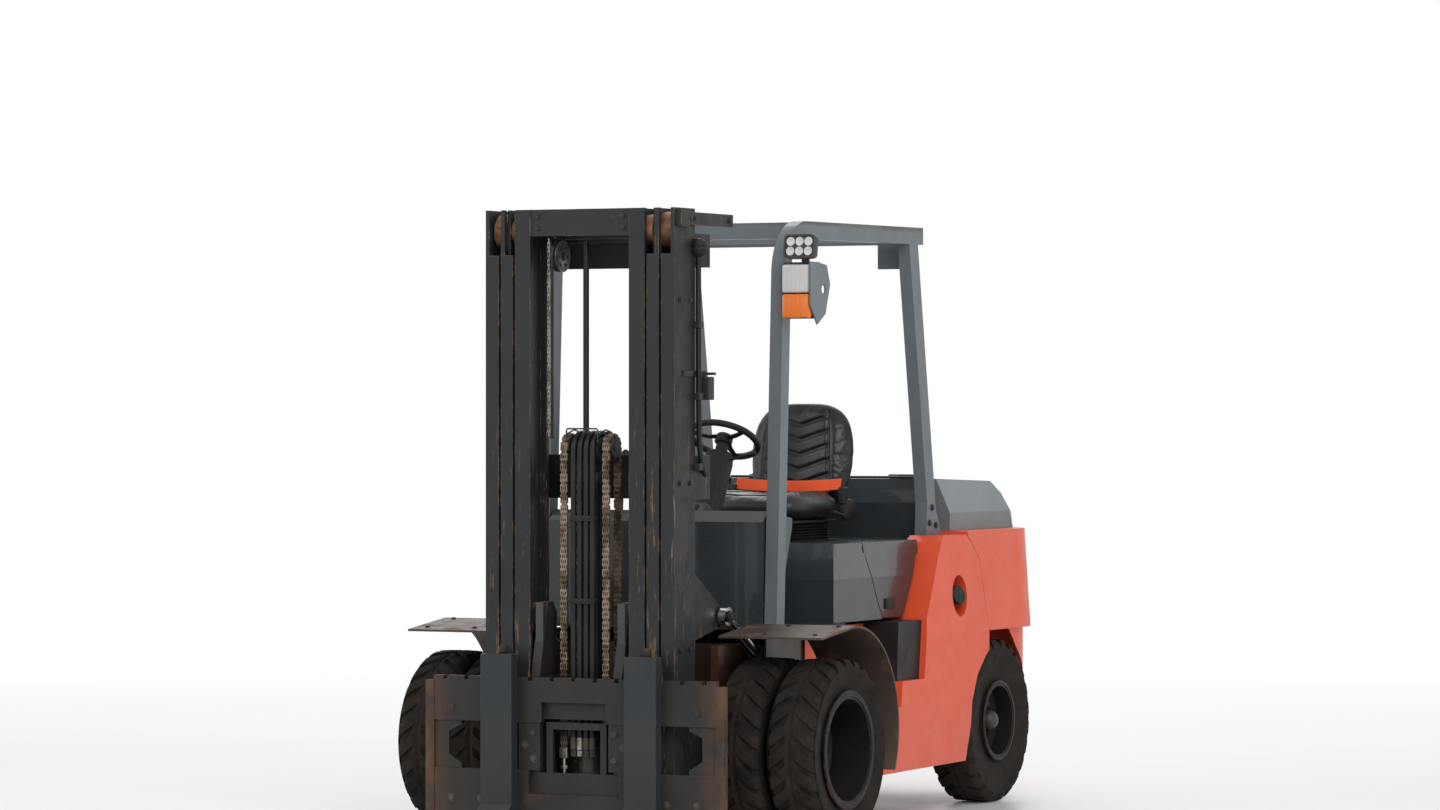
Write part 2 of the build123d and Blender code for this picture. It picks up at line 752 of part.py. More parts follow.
def tilt_rod(side):
    eye_low = side * tilt_pin_x - 14
    with BuildPart() as item:
        rod(tilt_point(side, tilt_length - 396), tilt_point(side, tilt_length - 25), tilt_rod_radius)
        rod((eye_low, tilt_pin_y, tilt_pin_z), (eye_low + 28, tilt_pin_y, tilt_pin_z), 36)
        rod((eye_low - 1, tilt_pin_y, tilt_pin_z), (eye_low + 29, tilt_pin_y, tilt_pin_z), 23, Mode.SUBTRACT)
    return item.part


# Chassis
axle_pocket_rear = front_axle_y + 2130
axle_pocket_top = 600.0
axle_pocket_half = 140.0


def arch_sweep(side):
    """The room that a steered rear wheel sweeps about its kingpin, cut out of what stands round it."""
    reach = rear_outer_face - kingpin_x
    crown = rear_tyre_radius * 2 + 40
    heights = [0, 190, rear_tyre_radius, rear_tyre_radius + 95, rear_tyre_radius + 195,
               rear_tyre_radius + 288, crown]
    with BuildSketch(Plane(origin=(side * kingpin_x, rear_axle_y, 0), x_dir=(1, 0, 0),
                           z_dir=(0, -1, 0))) as dome:
        outline = [(0, -1), (450, -1), (450, heights[1])]
        for height in heights[2:-1]:
            rise = height - rear_tyre_radius
            chord = max(rear_tyre_radius ** 2 - rise ** 2, 0) ** 0.5
            outline.append((hypot(reach, chord) + 10, height))
        outline += [(reach + 12, heights[-1]), (0, heights[-1])]
        with BuildLine():
            Polyline(*outline, close=True)
        make_face()
    revolve(dome.sketch, axis=Axis((side * kingpin_x, rear_axle_y, 0), (0, 0, 1)), mode=Mode.SUBTRACT)


def side_outline():
    y = front_axle_y
    return [
        (y + 470, body_bottom), (seam_low_y - 31, body_bottom + 12), (seam_low_y, 560),
        (seam_low_y, 683),
        (y + 1763, 969), (y + 1690, body_side_top - 27), (seam_top_y, body_side_top),
        (y + 1440, body_side_top),
        (y + 1400, body_side_top - 22), (y + 1222, floor_top - 2), (y + 1191, step_panel_low),
        (step_rear + 10, step_panel_low), (step_rear, step_top), (y + 470, step_top),
    ]


def chassis_frame():
    """Box sides with the step and wheel arch, long inner members, and cross members."""
    y = front_axle_y
    under_floor = floor_top - floor_thick
    axle_seat = front_tyre_radius + axle_tube_radius + rest_gap
    rail_top = 700
    rail_low = 250
    rail_outer = rail_inner + rail_thick
    with BuildPart() as frame:
        for side in (1, -1):
            low, high = sorted((side * body_inner, side * body_half_width))
            side_slab(side_outline(), low, high)
            front_slab([
                (side * body_half_width, body_bulge_z), (side * (body_half_width + 1), body_bulge_z),
                (side * (body_half_width + 1), body_side_top + 1),
                (side * (body_half_width - body_lean), body_side_top + 1),
            ], step_rear, seam_low_y + 20, Mode.SUBTRACT)
        for side in (1, -1):
            low, high = sorted((side * rail_inner, side * rail_outer))
            side_slab([(y - 60, axle_seat), (y + 100, axle_seat), (y + 100, rail_low), (y + 1700, rail_low),
                       (y + 1700, rail_top), (y - 60, rail_top)], low, high)
            side_slab([(y + 240, rail_top - 10), (y + 640, rail_top - 10), (y + 640, under_floor),
                       (y + 240, under_floor)], low, high)
            low, high = sorted((side * (rail_outer - 1), side * (body_inner + 1)))
            side_slab([(y + 640, 260), (y + 1560, 260), (y + 1560, 680), (y + 640, 680)], low, high)
            low, high = sorted((side * (fender_inner - side_plate), side * fender_inner))
            side_slab([(y + 165, 430), (y + 520, 200), (y + 1000, 200), (y + 1000, 745), (y + 165, 745)],
                      low, high)
            low, high = sorted((side * (fender_inner - 1), side * (body_inner + 1)))
            side_slab([(y + 480, 200), (y + 1000, 200), (y + 1000, 745), (y + 480, 745)], low, high)
            rod((side * (rail_outer - 1), tilt_foot_y, tilt_foot_z),
                (side * (fender_inner - 1), tilt_foot_y, tilt_foot_z), tilt_foot_pin)
            low, high = sorted((side * (rail_outer - 1), side * (fender_inner - 1)))
            for floor_beam in (y + 250, y + 560):
                block((low, high), (floor_beam, floor_beam + 60), (under_floor - 25, under_floor))
        for y_low, y_high, z_low, z_high in ((100, 130, 490, 700), (600, 640, 260, 420),
                                             (1640, 1700, 250, 640)):
            block((-rail_inner - 1, rail_inner + 1), (y + y_low, y + y_high), (z_low, z_high))
        for side in (1, -1):
            arch_sweep(side)
        block((-70, 70), (y + 1650, axle_pocket_rear - rest_gap), (axle_pivot_top, axle_pocket_top))
        with BuildSketch(Plane.YZ.offset(body_half_width - filler_depth)) as oval:
            with Locations((filler_y, filler_z)):
                Ellipse(filler_width / 2, filler_height / 2)
        extrude(oval.sketch, amount=filler_depth + 1, dir=(1, 0, 0), mode=Mode.SUBTRACT)
    return frame.part


def step_panels():
    """Dark side panels above the step, between the step and the body side."""
    y = front_axle_y
    with BuildPart() as panels:
        for side in (1, -1):
            low, high = sorted((side * (body_inner + 1), side * (body_half_width - body_lean)))
            side_slab([(step_rear + 10, step_panel_low + 1), (y + 1189, step_panel_low + 1),
                       (y + 1216, floor_top - floor_thick), (step_rear + 25, floor_top - floor_thick)], low,
                       high)
    return panels.part


def front_fenders():
    y = front_axle_y
    with BuildPart() as fenders:
        for side in (1, -1):
            low, high = sorted((side * fender_inner, side * fender_outer))
            with BuildSketch(Plane.YZ.offset(low)):
                with BuildLine():
                    Line((y - fender_front, 742), (y + 40, 774))
                    ThreePointArc((y + 40, 774), (y + 345, 640), (y + 400, 235))
                trace(line_width=fender_sheet)
            extrude(amount=high - low)
            low, high = sorted((side * (fender_inner - 1), side * (floor_half_width + 1)))
            block((low, high), (y + 104, y + 700), (600, 800), Mode.SUBTRACT)
    return fenders.part


def floor_plate():
    with BuildPart() as plate:
        block((-floor_half_width, floor_half_width), (cowl_front - 3, hood_front + 24),
              (floor_top - floor_thick, floor_top))
    return plate.part


def cowl():
    """Front cowl: a tall front panel, its side cheeks and the instrument shelf."""
    with BuildPart() as panels:
        outline = [(cowl_front, floor_top + rest_gap), (cowl_front, cowl_top - 40),
                   (cowl_front + 40, cowl_top),
                   (cowl_front + 250, cowl_top - 30), (cowl_front + 250, cowl_top - 60),
                   (cowl_front + 120, floor_top + rest_gap)]
        side_slab(outline, -cowl_half_width, cowl_half_width)
        hollow = [(cowl_front + panel, floor_top - 1), (cowl_front + panel, cowl_top - 46),
                  (cowl_front + 46, cowl_top - panel), (cowl_front + 251, cowl_top - panel - 32),
                  (cowl_front + 251, cowl_top - 61), (cowl_front + 240, floor_top - 1)]
        side_slab(hollow, -cowl_half_width + panel, cowl_half_width - panel, Mode.SUBTRACT)
    return panels.part


def steering_column():
    direction = (0, -sin(radians(steering_tilt)), -cos(radians(steering_tilt)))
    top = Vector(0, steering_y, steering_z)
    with BuildPart() as column:
        tube = 26
        drop = steering_z - floor_top - rest_gap - tube * sin(radians(steering_tilt))
        start = top + Vector(*direction) * (steering_hub / 2 + rest_gap)
        end = top + Vector(*direction) * (drop / cos(radians(steering_tilt)))
        rod((start.X, start.Y, start.Z), (end.X, end.Y, end.Z), tube)
        start = top + Vector(*direction) * 60
        with Locations(Plane(origin=(start.X, start.Y, start.Z), x_dir=(1, 0, 0), z_dir=direction)):
            Box(110, 84, 360, align=(Align.CENTER, Align.CENTER, Align.MIN))
    return column.part


def steering_wheel():
    """A round-section rim on three spokes, with a spinner knob."""
    lean = radians(steering_tilt)
    centre = (0, steering_y, steering_z)
    ring = steering_radius - steering_grip
    with BuildPart() as wheel:
        with BuildSketch(Plane(origin=centre, x_dir=(1, 0, 0), z_dir=(0, -cos(lean), sin(lean)))) as grip:
            with Locations((ring, 0)):
                RegularPolygon(steering_grip, 8)
        revolve(grip.sketch, axis=Axis(centre, (0, sin(lean), cos(lean))))
        with Locations(Plane(origin=centre, x_dir=(1, 0, 0), z_dir=(0, sin(lean), cos(lean)))):
            Cylinder(34, steering_hub)
            for angle in (90, 210, 330):
                with Locations(Rotation(0, 0, angle)):
                    with Locations((steering_radius / 2, 0, 0)):
                        Box(steering_radius - 20, 26, 9)
            with Locations(Rotation(0, 0, 200)):
                with Locations((ring, 0, 34)):
                    Cylinder(19, 46)
    return wheel.part


# Overhead guard
lamp_guard_x = roof_half_width + 139.0
lamp_low = 1898.0
lamp_high = 2108.0


def guard_hoop(side):
    """One side of the guard: a bent tube for the front pillar and roof rail, and a slanted rear pillar."""
    x = side * (roof_half_width - guard_width / 2)
    top = roof_top - 30
    with BuildLine(Plane.YZ.offset(x)) as front_path:
        FilletPolyline((pillar_foot_y, floor_top + 1.8), (pillar_top_y, top),
                       (rear_pillar_top_y + 95, top + 8),
                       radius=roof_bend)
    with BuildSketch(Plane(origin=front_path.line @ 0, z_dir=front_path.line % 0,
                           x_dir=(1, 0, 0))) as section:
        Rectangle(guard_width, guard_depth - 14)
    sweep(section.sketch, path=front_path.line)
    with BuildLine(Plane.YZ.offset(x)) as back_path:
        Line((rear_pillar_foot_y, body_side_top + 8), (rear_pillar_top_y, top))
    with BuildSketch(Plane(origin=back_path.line @ 0, z_dir=back_path.line % 0, x_dir=(1, 0, 0))) as section:
        Rectangle(guard_width, guard_depth)
    sweep(section.sketch, path=back_path.line)
    low, high = sorted((side * (roof_half_width - guard_width), side * roof_half_width))
    side_slab([
        (rear_pillar_foot_y - 68, body_side_top + rest_gap),
        (rear_pillar_foot_y + 72, body_side_top + rest_gap),
        (rear_pillar_foot_y + 47, body_side_top + 68), (rear_pillar_foot_y - 58, body_side_top + 168),
    ], low, high)


def lamp_bracket(side):
    """A back plate and a side guard plate with a hole, outboard of a front pillar."""
    spans = sorted((side * (roof_half_width - 4), side * lamp_guard_x))
    block(spans, (lamp_bracket_y, lamp_bracket_y + 8), (lamp_low + 30, lamp_high))
    spans = sorted((side * (lamp_guard_x - 6), side * lamp_guard_x))
    side_slab([
        (lamp_bracket_y - 70, lamp_low + 50), (lamp_bracket_y - 10, lamp_low - 20),
        (lamp_bracket_y + 60, lamp_low + 20),
        (lamp_bracket_y + 100, lamp_high - 80), (lamp_bracket_y + 70, lamp_high - 10),
        (lamp_bracket_y - 20, lamp_high),
        (lamp_bracket_y - 70, lamp_high),
    ], *spans)
    rod((spans[0] - 1, lamp_bracket_y + 42, lamp_low + 110),
        (spans[1] + 1, lamp_bracket_y + 42, lamp_low + 110), 17,
        Mode.SUBTRACT)
    spans = sorted((side * (lamp_guard_x - 70), side * (lamp_guard_x - 40)))
    block(spans, (lamp_bracket_y, lamp_bracket_y + 8), (lamp_high - 1, lamp_high + 30))


def front_lamps():
    """On each front pillar a signal lamp in two parts, and a work lamp above it."""
    with BuildPart() as lamps:
        for side in (1, -1):
            spans = sorted((side * (lamp_guard_x - 7), side * (lamp_guard_x - 127)))
            block(spans, (lamp_bracket_y - 62, lamp_bracket_y - rest_gap), (lamp_low, lamp_high - 6))
            spans = sorted((side * (lamp_guard_x + 10), side * (lamp_guard_x - 122)))
            side_slab([
                (lamp_bracket_y - 60, lamp_high + 22), (lamp_bracket_y - rest_gap, lamp_high + 8),
                (lamp_bracket_y - rest_gap, lamp_high + 96), (lamp_bracket_y - 46, lamp_high + 104),
            ], *spans)
        round_edges = lamps.edges().filter_by(Axis.Y)
        fillet(round_edges, radius=12)
    return lamps.part


def overhead_guard():
    y = front_axle_y
    inner = roof_half_width - 20
    with BuildPart() as guard:
        for side in (1, -1):
            guard_hoop(side)
            lamp_bracket(side)
        block((-inner, inner), (y + 360, y + 420), (roof_top - 60, roof_top))
        block((-inner, inner), (rear_pillar_top_y + 45, rear_pillar_top_y + 95), (roof_top - 55, roof_top))
        block((inner - 150, inner - 15), (rear_pillar_top_y + 40, rear_pillar_top_y + 47),
              (roof_top - 150, roof_top - 50))
        for index in range(roof_slats):
            slat = y + 500 + index * slat_pitch
            side_slab([(slat, roof_top - 50), (slat + 12, roof_top - 50), (slat + 50, roof_top - 4),
                       (slat + 38, roof_top - 4)], -inner, inner)
    return guard.part


# Hood, seat and engine
hood_split_radius = hypot(hood_hinge_y - hood_split, hood_hinge_z - hood_top)


def split_point(radius, z):
    """A point on the split between the hood and the box in front of it, an arc about the hood's hinge."""
    return (hood_hinge_y - (radius ** 2 - (hood_hinge_z - z) ** 2) ** 0.5, z)


def hood_shoulders(y_low, y_high):
    """Lean the upper sides of the hood inwards."""
    for side in (1, -1):
        front_slab([
            (side * hood_half_width, hood_shoulder_z), (side * (hood_half_width + 1), hood_shoulder_z),
            (side * (hood_half_width + 1), hood_top + 1),
            (side * (hood_half_width - hood_lean), hood_top + 1),
        ], y_low, y_high, Mode.SUBTRACT)


def hood_front_box():
    """The fixed front of the engine cover, under the driver's knees."""
    foot = floor_top + rest_gap
    middle = (foot + hood_top) / 2
    radius = hood_split_radius + move_gap
    with BuildPart() as box:
        for inset, half, mode in ((0, hood_half_width, Mode.ADD),
                                  (panel, hood_half_width - panel, Mode.SUBTRACT)):
            low = foot - inset
            with BuildSketch(Plane.YZ.offset(-half)) as outline:
                with BuildLine():
                    ThreePointArc(split_point(radius - inset, low), split_point(radius - inset, middle),
                                  split_point(radius - inset, hood_top - inset))
                    Polyline(split_point(radius - inset, hood_top - inset),
                             (hood_front + 43 + inset, hood_top - inset),
                             (hood_front + inset, hood_shoulder_z), (hood_front + inset, low),
                             split_point(radius - inset, low))
                make_face()
            extrude(outline.sketch, amount=2 * half, dir=(1, 0, 0), mode=mode)
        hood_shoulders(hood_front - 1, hood_split + 100)
    return box.part


def hood():
    """The seat deck and its side skirts, raised behind the seat, hinged at its top rear edge."""
    foot = floor_top + 4
    middle = (foot + hood_top) / 2
    under = hood_top - panel
    deck = [(hood_split + 12, under), (hood_rear, under), (hood_rear + 8, 1190),
            (hood_rear + 60, cover_top - panel),
            (hood_hinge_y - 2, cover_top - panel), (hood_hinge_y - 2, cover_top),
            (hood_rear + 50, cover_top),
            (hood_rear - 10, 1195), (hood_rear - 18, hood_top), (hood_split + 12, hood_top)]
    with BuildPart() as lid:
        side_slab(deck, -hood_deck_half, hood_deck_half)
        with BuildSketch(Plane.YZ.offset(-hood_half_width)) as skirt:
            with BuildLine():
                ThreePointArc(split_point(hood_split_radius, foot), split_point(hood_split_radius, middle),
                              split_point(hood_split_radius, hood_top))
                Polyline(split_point(hood_split_radius, hood_top), (hood_skirt_rear, hood_top),
                         (hood_skirt_rear, hood_top - 6), (hood_skirt_rear - 177, foot),
                         split_point(hood_split_radius, foot))
            make_face()
        extrude(skirt.sketch, amount=2 * hood_half_width, dir=(1, 0, 0))
        inner = hood_half_width - panel
        side_slab([(hood_split - 100, foot - 1), (hood_skirt_rear + 1, foot - 1),
                   (hood_skirt_rear + 1, under),
                   (hood_split - 100, under)], -inner, inner, Mode.SUBTRACT)
        hood_shoulders(hood_split - 100, hood_rear + 100)
        for side in (1, -1):
            low, high = sorted((side * hinge_split, side * (hinge_split + 60)))
            rod((low, hood_hinge_y, hood_hinge_z), (high, hood_hinge_y, hood_hinge_z), hinge_radius)
            block((low, high), (hood_hinge_y - 30, hood_hinge_y - 4), (cover_top - 10, hood_hinge_z + 4))
            rod((side * (hinge_split - 58), hood_hinge_y, hood_hinge_z),
                (side * (hinge_split + 1), hood_hinge_y, hood_hinge_z), hinge_pin)
    return lid.part


def seat_base():
    with BuildPart() as base:
        block((-190, 190), (seat_front + 40, seat_back_front - 30),
              (hood_top + rest_gap, seat_low - rest_gap))
    return base.part


def seat_cushion():
    with BuildPart() as cushion:
        block((-seat_half_width, seat_half_width), (seat_front, seat_back_front - 10), (seat_low, seat_high))
    return cushion.part


def seat_back():
    lean = 60
    with BuildPart() as back:
        side_slab([(seat_back_front - 10 + rest_gap, seat_low), (seat_back_front + 70, seat_low),
                   (seat_back_front + 70 + lean, seat_back_top),
                   (seat_back_front - 20 + lean, seat_back_top),
                   (seat_back_front - 10 + rest_gap, seat_high + 30)],
                  -seat_half_width, seat_half_width)
    return back.part


def engine_block():
    y = front_axle_y
    with BuildPart() as engine:
        width = rail_inner - rest_gap
        block((-width, width), (y + 660, y + 1560), (430, 960))
    return engine.part


# Counterweight
def weight_outline(half, front, rear):
    """The counterweight seen from above, with a large round corner each side."""
    arc_x = half - counterweight_corner
    arc_y = rear - counterweight_corner
    turn = counterweight_corner * sin(radians(45))
    with BuildLine() as outline:
        Polyline((arc_x, rear), (-arc_x, rear))
        ThreePointArc((-arc_x, rear), (-arc_x - turn, arc_y + turn), (-half, arc_y))
        Polyline((-half, arc_y), (-half, front), (half, front), (half, arc_y))
        ThreePointArc((half, arc_y), (arc_x + turn, arc_y + turn), (arc_x, rear))
    return outline.line.edges()


def counterweight():
    """Cast counterweight with round rear corners, wheel arches, an air outlet and a tow jaw."""
    y = front_axle_y
    rear_low = truck_rear - counterweight_step
    jaw_y = truck_rear - tow_pin_inset
    front = seam_low_y + seam_gap
    with BuildPart() as weight:
        with BuildSketch(Plane.XY.offset(counterweight_bottom)) as lower:
            make_face(weight_outline(body_half_width - counterweight_step, front, rear_low))
        extrude(lower.sketch, amount=body_bulge_z - counterweight_bottom + 1)
        with BuildSketch(Plane.XY.offset(body_bulge_z)) as upper:
            make_face(weight_outline(body_half_width, seam_top_y, truck_rear))
        height = counterweight_top - body_bulge_z
        extrude(upper.sketch, amount=height, taper=3.5)
        side_slab([
            (y + 1500, body_bulge_z - 10), (front, body_bulge_z - 10), (seam_low_y + seam_gap, 683),
            (y + 1765, 970), (y + 1692, body_side_top - 25), (seam_top_y + seam_gap, body_side_top + 1),
            (seam_top_y + seam_gap, counterweight_top + 1), (y + 1500, counterweight_top + 1),
        ], -body_half_width - 5, body_half_width + 5, Mode.SUBTRACT)
        for side in (1, -1):
            arch_sweep(side)
        block((-axle_pocket_half, axle_pocket_half), (y + 1700, axle_pocket_rear),
              (counterweight_bottom - 1, axle_pocket_top), Mode.SUBTRACT)
        block((-bay_half_width, bay_half_width), (y + 1600, bay_rear), (bay_floor, counterweight_top + 1),
              Mode.SUBTRACT)
        for index in range(5):
            z = bay_floor + 110 + index * 42
            block((-210, 210), (bay_rear - 1, truck_rear + 1), (z, z + 20), Mode.SUBTRACT)
        block((-60, 60), (jaw_y - 60, truck_rear + 1), (520, 600), Mode.SUBTRACT)
        block((-45, 45), (jaw_y - 50, truck_rear + 1), (660, 770), Mode.SUBTRACT)
        rod((0, jaw_y, counterweight_bottom - 1), (0, jaw_y, 661), tow_pin_radius, Mode.SUBTRACT)
    return weight.part


def counterweight_cover():
    """The grey cover behind the hood, sloped to the rear and chamfered along its sides."""
    low = counterweight_top + rest_gap
    with BuildPart() as cover:
        side_slab([(cover_front, low), (cover_rear, low), (cover_rear - 50, cover_top - 65),
                   (cover_rear - 110, cover_top - 15), (cover_front, cover_top)], -cover_half_width,
                   cover_half_width)
        for side in (1, -1):
            front_slab([
                (side * cover_half_width, low + 70), (side * (cover_half_width + 1), low + 70),
                (side * (cover_half_width + 1), cover_top + 1),
                (side * (cover_half_width - 60), cover_top + 1),
            ], cover_front - 1, cover_rear + 1, Mode.SUBTRACT)
        for side in (1, -1):
            low, high = sorted((side * (hinge_split - 1), side * (hinge_split - 55)))
            rod((low, hood_hinge_y, hood_hinge_z), (high, hood_hinge_y, hood_hinge_z), hinge_radius)
            block((low, high), (hood_hinge_y + 3, hood_hinge_y + 30), (cover_top - 10, hood_hinge_z + 4))
            rod((low - 1, hood_hinge_y, hood_hinge_z), (high + 1, hood_hinge_y, hood_hinge_z),
                hinge_pin + fit_gap, Mode.SUBTRACT)
    return cover.part


def steer_axle():
    """Beam axle with forked ends and its rocking pivot under the frame."""
    forks = ((axle_fork_low, axle_fork_low + axle_fork_thick),
             (axle_fork_high - axle_fork_thick, axle_fork_high))
    with BuildPart() as axle:
        block((-kingpin_x + 60, kingpin_x - 60), (rear_axle_y - 55, rear_axle_y + 55),
              (axle_fork_low + 18, axle_fork_high - 18))
        for side in (1, -1):
            for low, high in forks:
                spans = sorted((side * (kingpin_x - 80), side * (kingpin_x + 28)))
                block(spans, (rear_axle_y - 34, rear_axle_y + 34), (low, high))
                rod((side * kingpin_x, rear_axle_y, low - 1), (side * kingpin_x, rear_axle_y, high + 1),
                    kingpin_radius + fit_gap, Mode.SUBTRACT)
        block((-60, 60), (rear_axle_y - 100, rear_axle_y + 100), (axle_fork_high - 18, axle_pivot_top))
    return axle.part


def knuckle():
    low = axle_fork_low + axle_fork_thick + 2
    high = axle_fork_high - axle_fork_thick - 2
    hub_high = (high - low) / 2 - 2
    with BuildPart() as item:
        rod((kingpin_x, rear_axle_y, axle_fork_low), (kingpin_x, rear_axle_y, axle_fork_high),
            kingpin_radius)
        block((kingpin_x - 26, kingpin_x + 30), (rear_axle_y - 30, rear_axle_y + 30), (low, high))
        rod((kingpin_x + 30, rear_axle_y, rear_tyre_radius),
            (rear_inner_face + 40, rear_axle_y, rear_tyre_radius),
            hub_high)
        rod((kingpin_x + 30, rear_axle_y, rear_tyre_radius),
            (rear_inner_face + rear_disc_inset + 17, rear_axle_y, rear_tyre_radius), rear_spindle_radius)
    return item.part


def both_sides(part, label):
    """Write the left piece, and its mirror image as the right piece."""
    save(part, f"{label}_left")
    save(mirror(part, about=Plane.YZ), f"{label}_right")


def main():
    os.makedirs("parts", exist_ok=True)
    save(chassis_frame(), "chassis_frame")
    save(step_panels(), "step_panels")
    save(drive_axle(), "drive_axle")
    save(front_fenders(), "front_fenders")
    save(floor_plate(), "floor_plate")
    save(cowl(), "cowl")
    save(steering_column(), "steering_column")
    save(steering_wheel(), "steering_wheel")
    save(overhead_guard(), "overhead_guard")
    save(front_lamps(), "front_lamps")
    save(hood_front_box(), "hood_front")
    save(hood(), "hood")
    save(seat_base(), "seat_base")
    save(seat_cushion(), "seat_cushion")
    save(seat_back(), "seat_back")
    save(engine_block(), "engine_block")
    save(counterweight(), "counterweight")
    save(counterweight_cover(), "counterweight_cover")
    save(steer_axle(), "steer_axle")
    both_sides(knuckle(), "knuckle")
    both_sides(rear_tyre(), "rear_tyre")
    both_sides(rear_rim(), "rear_rim")
    both_sides(front_tyre_pair(), "front_tyres")
    both_sides(front_rim_pair(), "front_rims")
    save(outer_mast(), "mast_outer_rails")
    save(lift_barrels(), "lift_barrels")
    save(middle_mast(), "mast_middle_rails")
    save(lift_rods(), "lift_rods")
    save(inner_mast(), "mast_inner_rails")
    save(free_lift_barrel(), "free_lift_barrel")
    save(crosshead(), "crosshead")
    save(lift_chains(), "lift_chains")
    save(lift_hoses(), "lift_hoses")
    save(carriage(), "carriage_back")
    save(fork_frame(), "fork_frame")
    both_sides(fork(1), "fork")
    both_sides(tilt_barrel(1), "tilt_barrel")
    both_sides(tilt_rod(1), "tilt_rod")


main()
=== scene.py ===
import json
from math import atan, cos, pi, radians, sin

import bmesh
import bpy
from mathutils import Matrix, Vector


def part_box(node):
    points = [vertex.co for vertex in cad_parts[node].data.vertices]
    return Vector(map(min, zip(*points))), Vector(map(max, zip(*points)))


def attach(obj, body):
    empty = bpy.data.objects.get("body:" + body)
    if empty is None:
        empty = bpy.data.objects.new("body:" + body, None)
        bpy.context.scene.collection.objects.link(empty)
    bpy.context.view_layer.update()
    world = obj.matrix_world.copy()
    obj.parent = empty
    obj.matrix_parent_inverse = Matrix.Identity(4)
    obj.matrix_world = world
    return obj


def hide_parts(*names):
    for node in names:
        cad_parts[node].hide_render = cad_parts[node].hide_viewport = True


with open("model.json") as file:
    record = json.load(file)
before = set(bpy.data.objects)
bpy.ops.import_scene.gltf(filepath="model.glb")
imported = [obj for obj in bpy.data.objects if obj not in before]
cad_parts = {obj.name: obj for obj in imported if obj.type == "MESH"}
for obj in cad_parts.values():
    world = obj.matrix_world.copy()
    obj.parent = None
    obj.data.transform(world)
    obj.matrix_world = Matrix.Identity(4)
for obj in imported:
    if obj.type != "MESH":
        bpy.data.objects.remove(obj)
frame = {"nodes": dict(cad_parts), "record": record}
bpy.context.scene.view_settings.view_transform = "Standard"
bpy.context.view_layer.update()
nodes = frame["nodes"]


def centre(node):
    low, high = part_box(node)
    return (low + high) / 2


# Places read from the frame
front_axle = centre("front_tyres_left")
rear_axle = centre("rear_tyre_left")

# Places in millimetres, from the front axle's line on the ground
FREE_CYLINDER_Y = -392
LIFT_CYLINDER_Y = -272
CHAIN_X = 86
CHAIN_FRONT_Y = -437
CHAIN_BACK_Y = -347
CHAIN_SHEAVE_Z = 1428
HOSE_SHEAVE = (-123, -397.5, 2123)
SHEAVE_HOSE_REACH = 64
SIDE_HOSE_Y = -318
RAIL_SIDE_X = 385.6
TOP_ROLLER_Z = 2213
ROLLER_Y = -411.5
FRONT_HUB_Z = 330
FRONT_BORE = 0.2003
REAR_BORE = 0.1523

def linked(name, data):
    """A new object in the scene."""
    thing = bpy.data.objects.new(name, data)
    bpy.context.scene.collection.objects.link(thing)
    return thing


# Camera
PHOTO_WIDTH = 1440
FOCAL_PIXELS = 5201.4
VIEW_ANGLE = radians(27.14)
VIEW_TURN = radians(0.878)
VIEW_DISTANCE = 19.243
VIEW_HEIGHT = 1.5818


def make_camera():
    data = bpy.data.cameras.new("camera")
    data.sensor_width = 36
    data.lens = FOCAL_PIXELS / PHOTO_WIDTH * data.sensor_width
    data.clip_end = 200
    camera = linked("camera", data)
    camera.location = (VIEW_DISTANCE * sin(VIEW_ANGLE),
            front_axle.y - VIEW_DISTANCE * cos(VIEW_ANGLE),
            VIEW_HEIGHT)
    camera.rotation_euler = (pi / 2, 0, VIEW_ANGLE - VIEW_TURN)
    bpy.context.scene.camera = camera


# Materials, by name
materials = {}


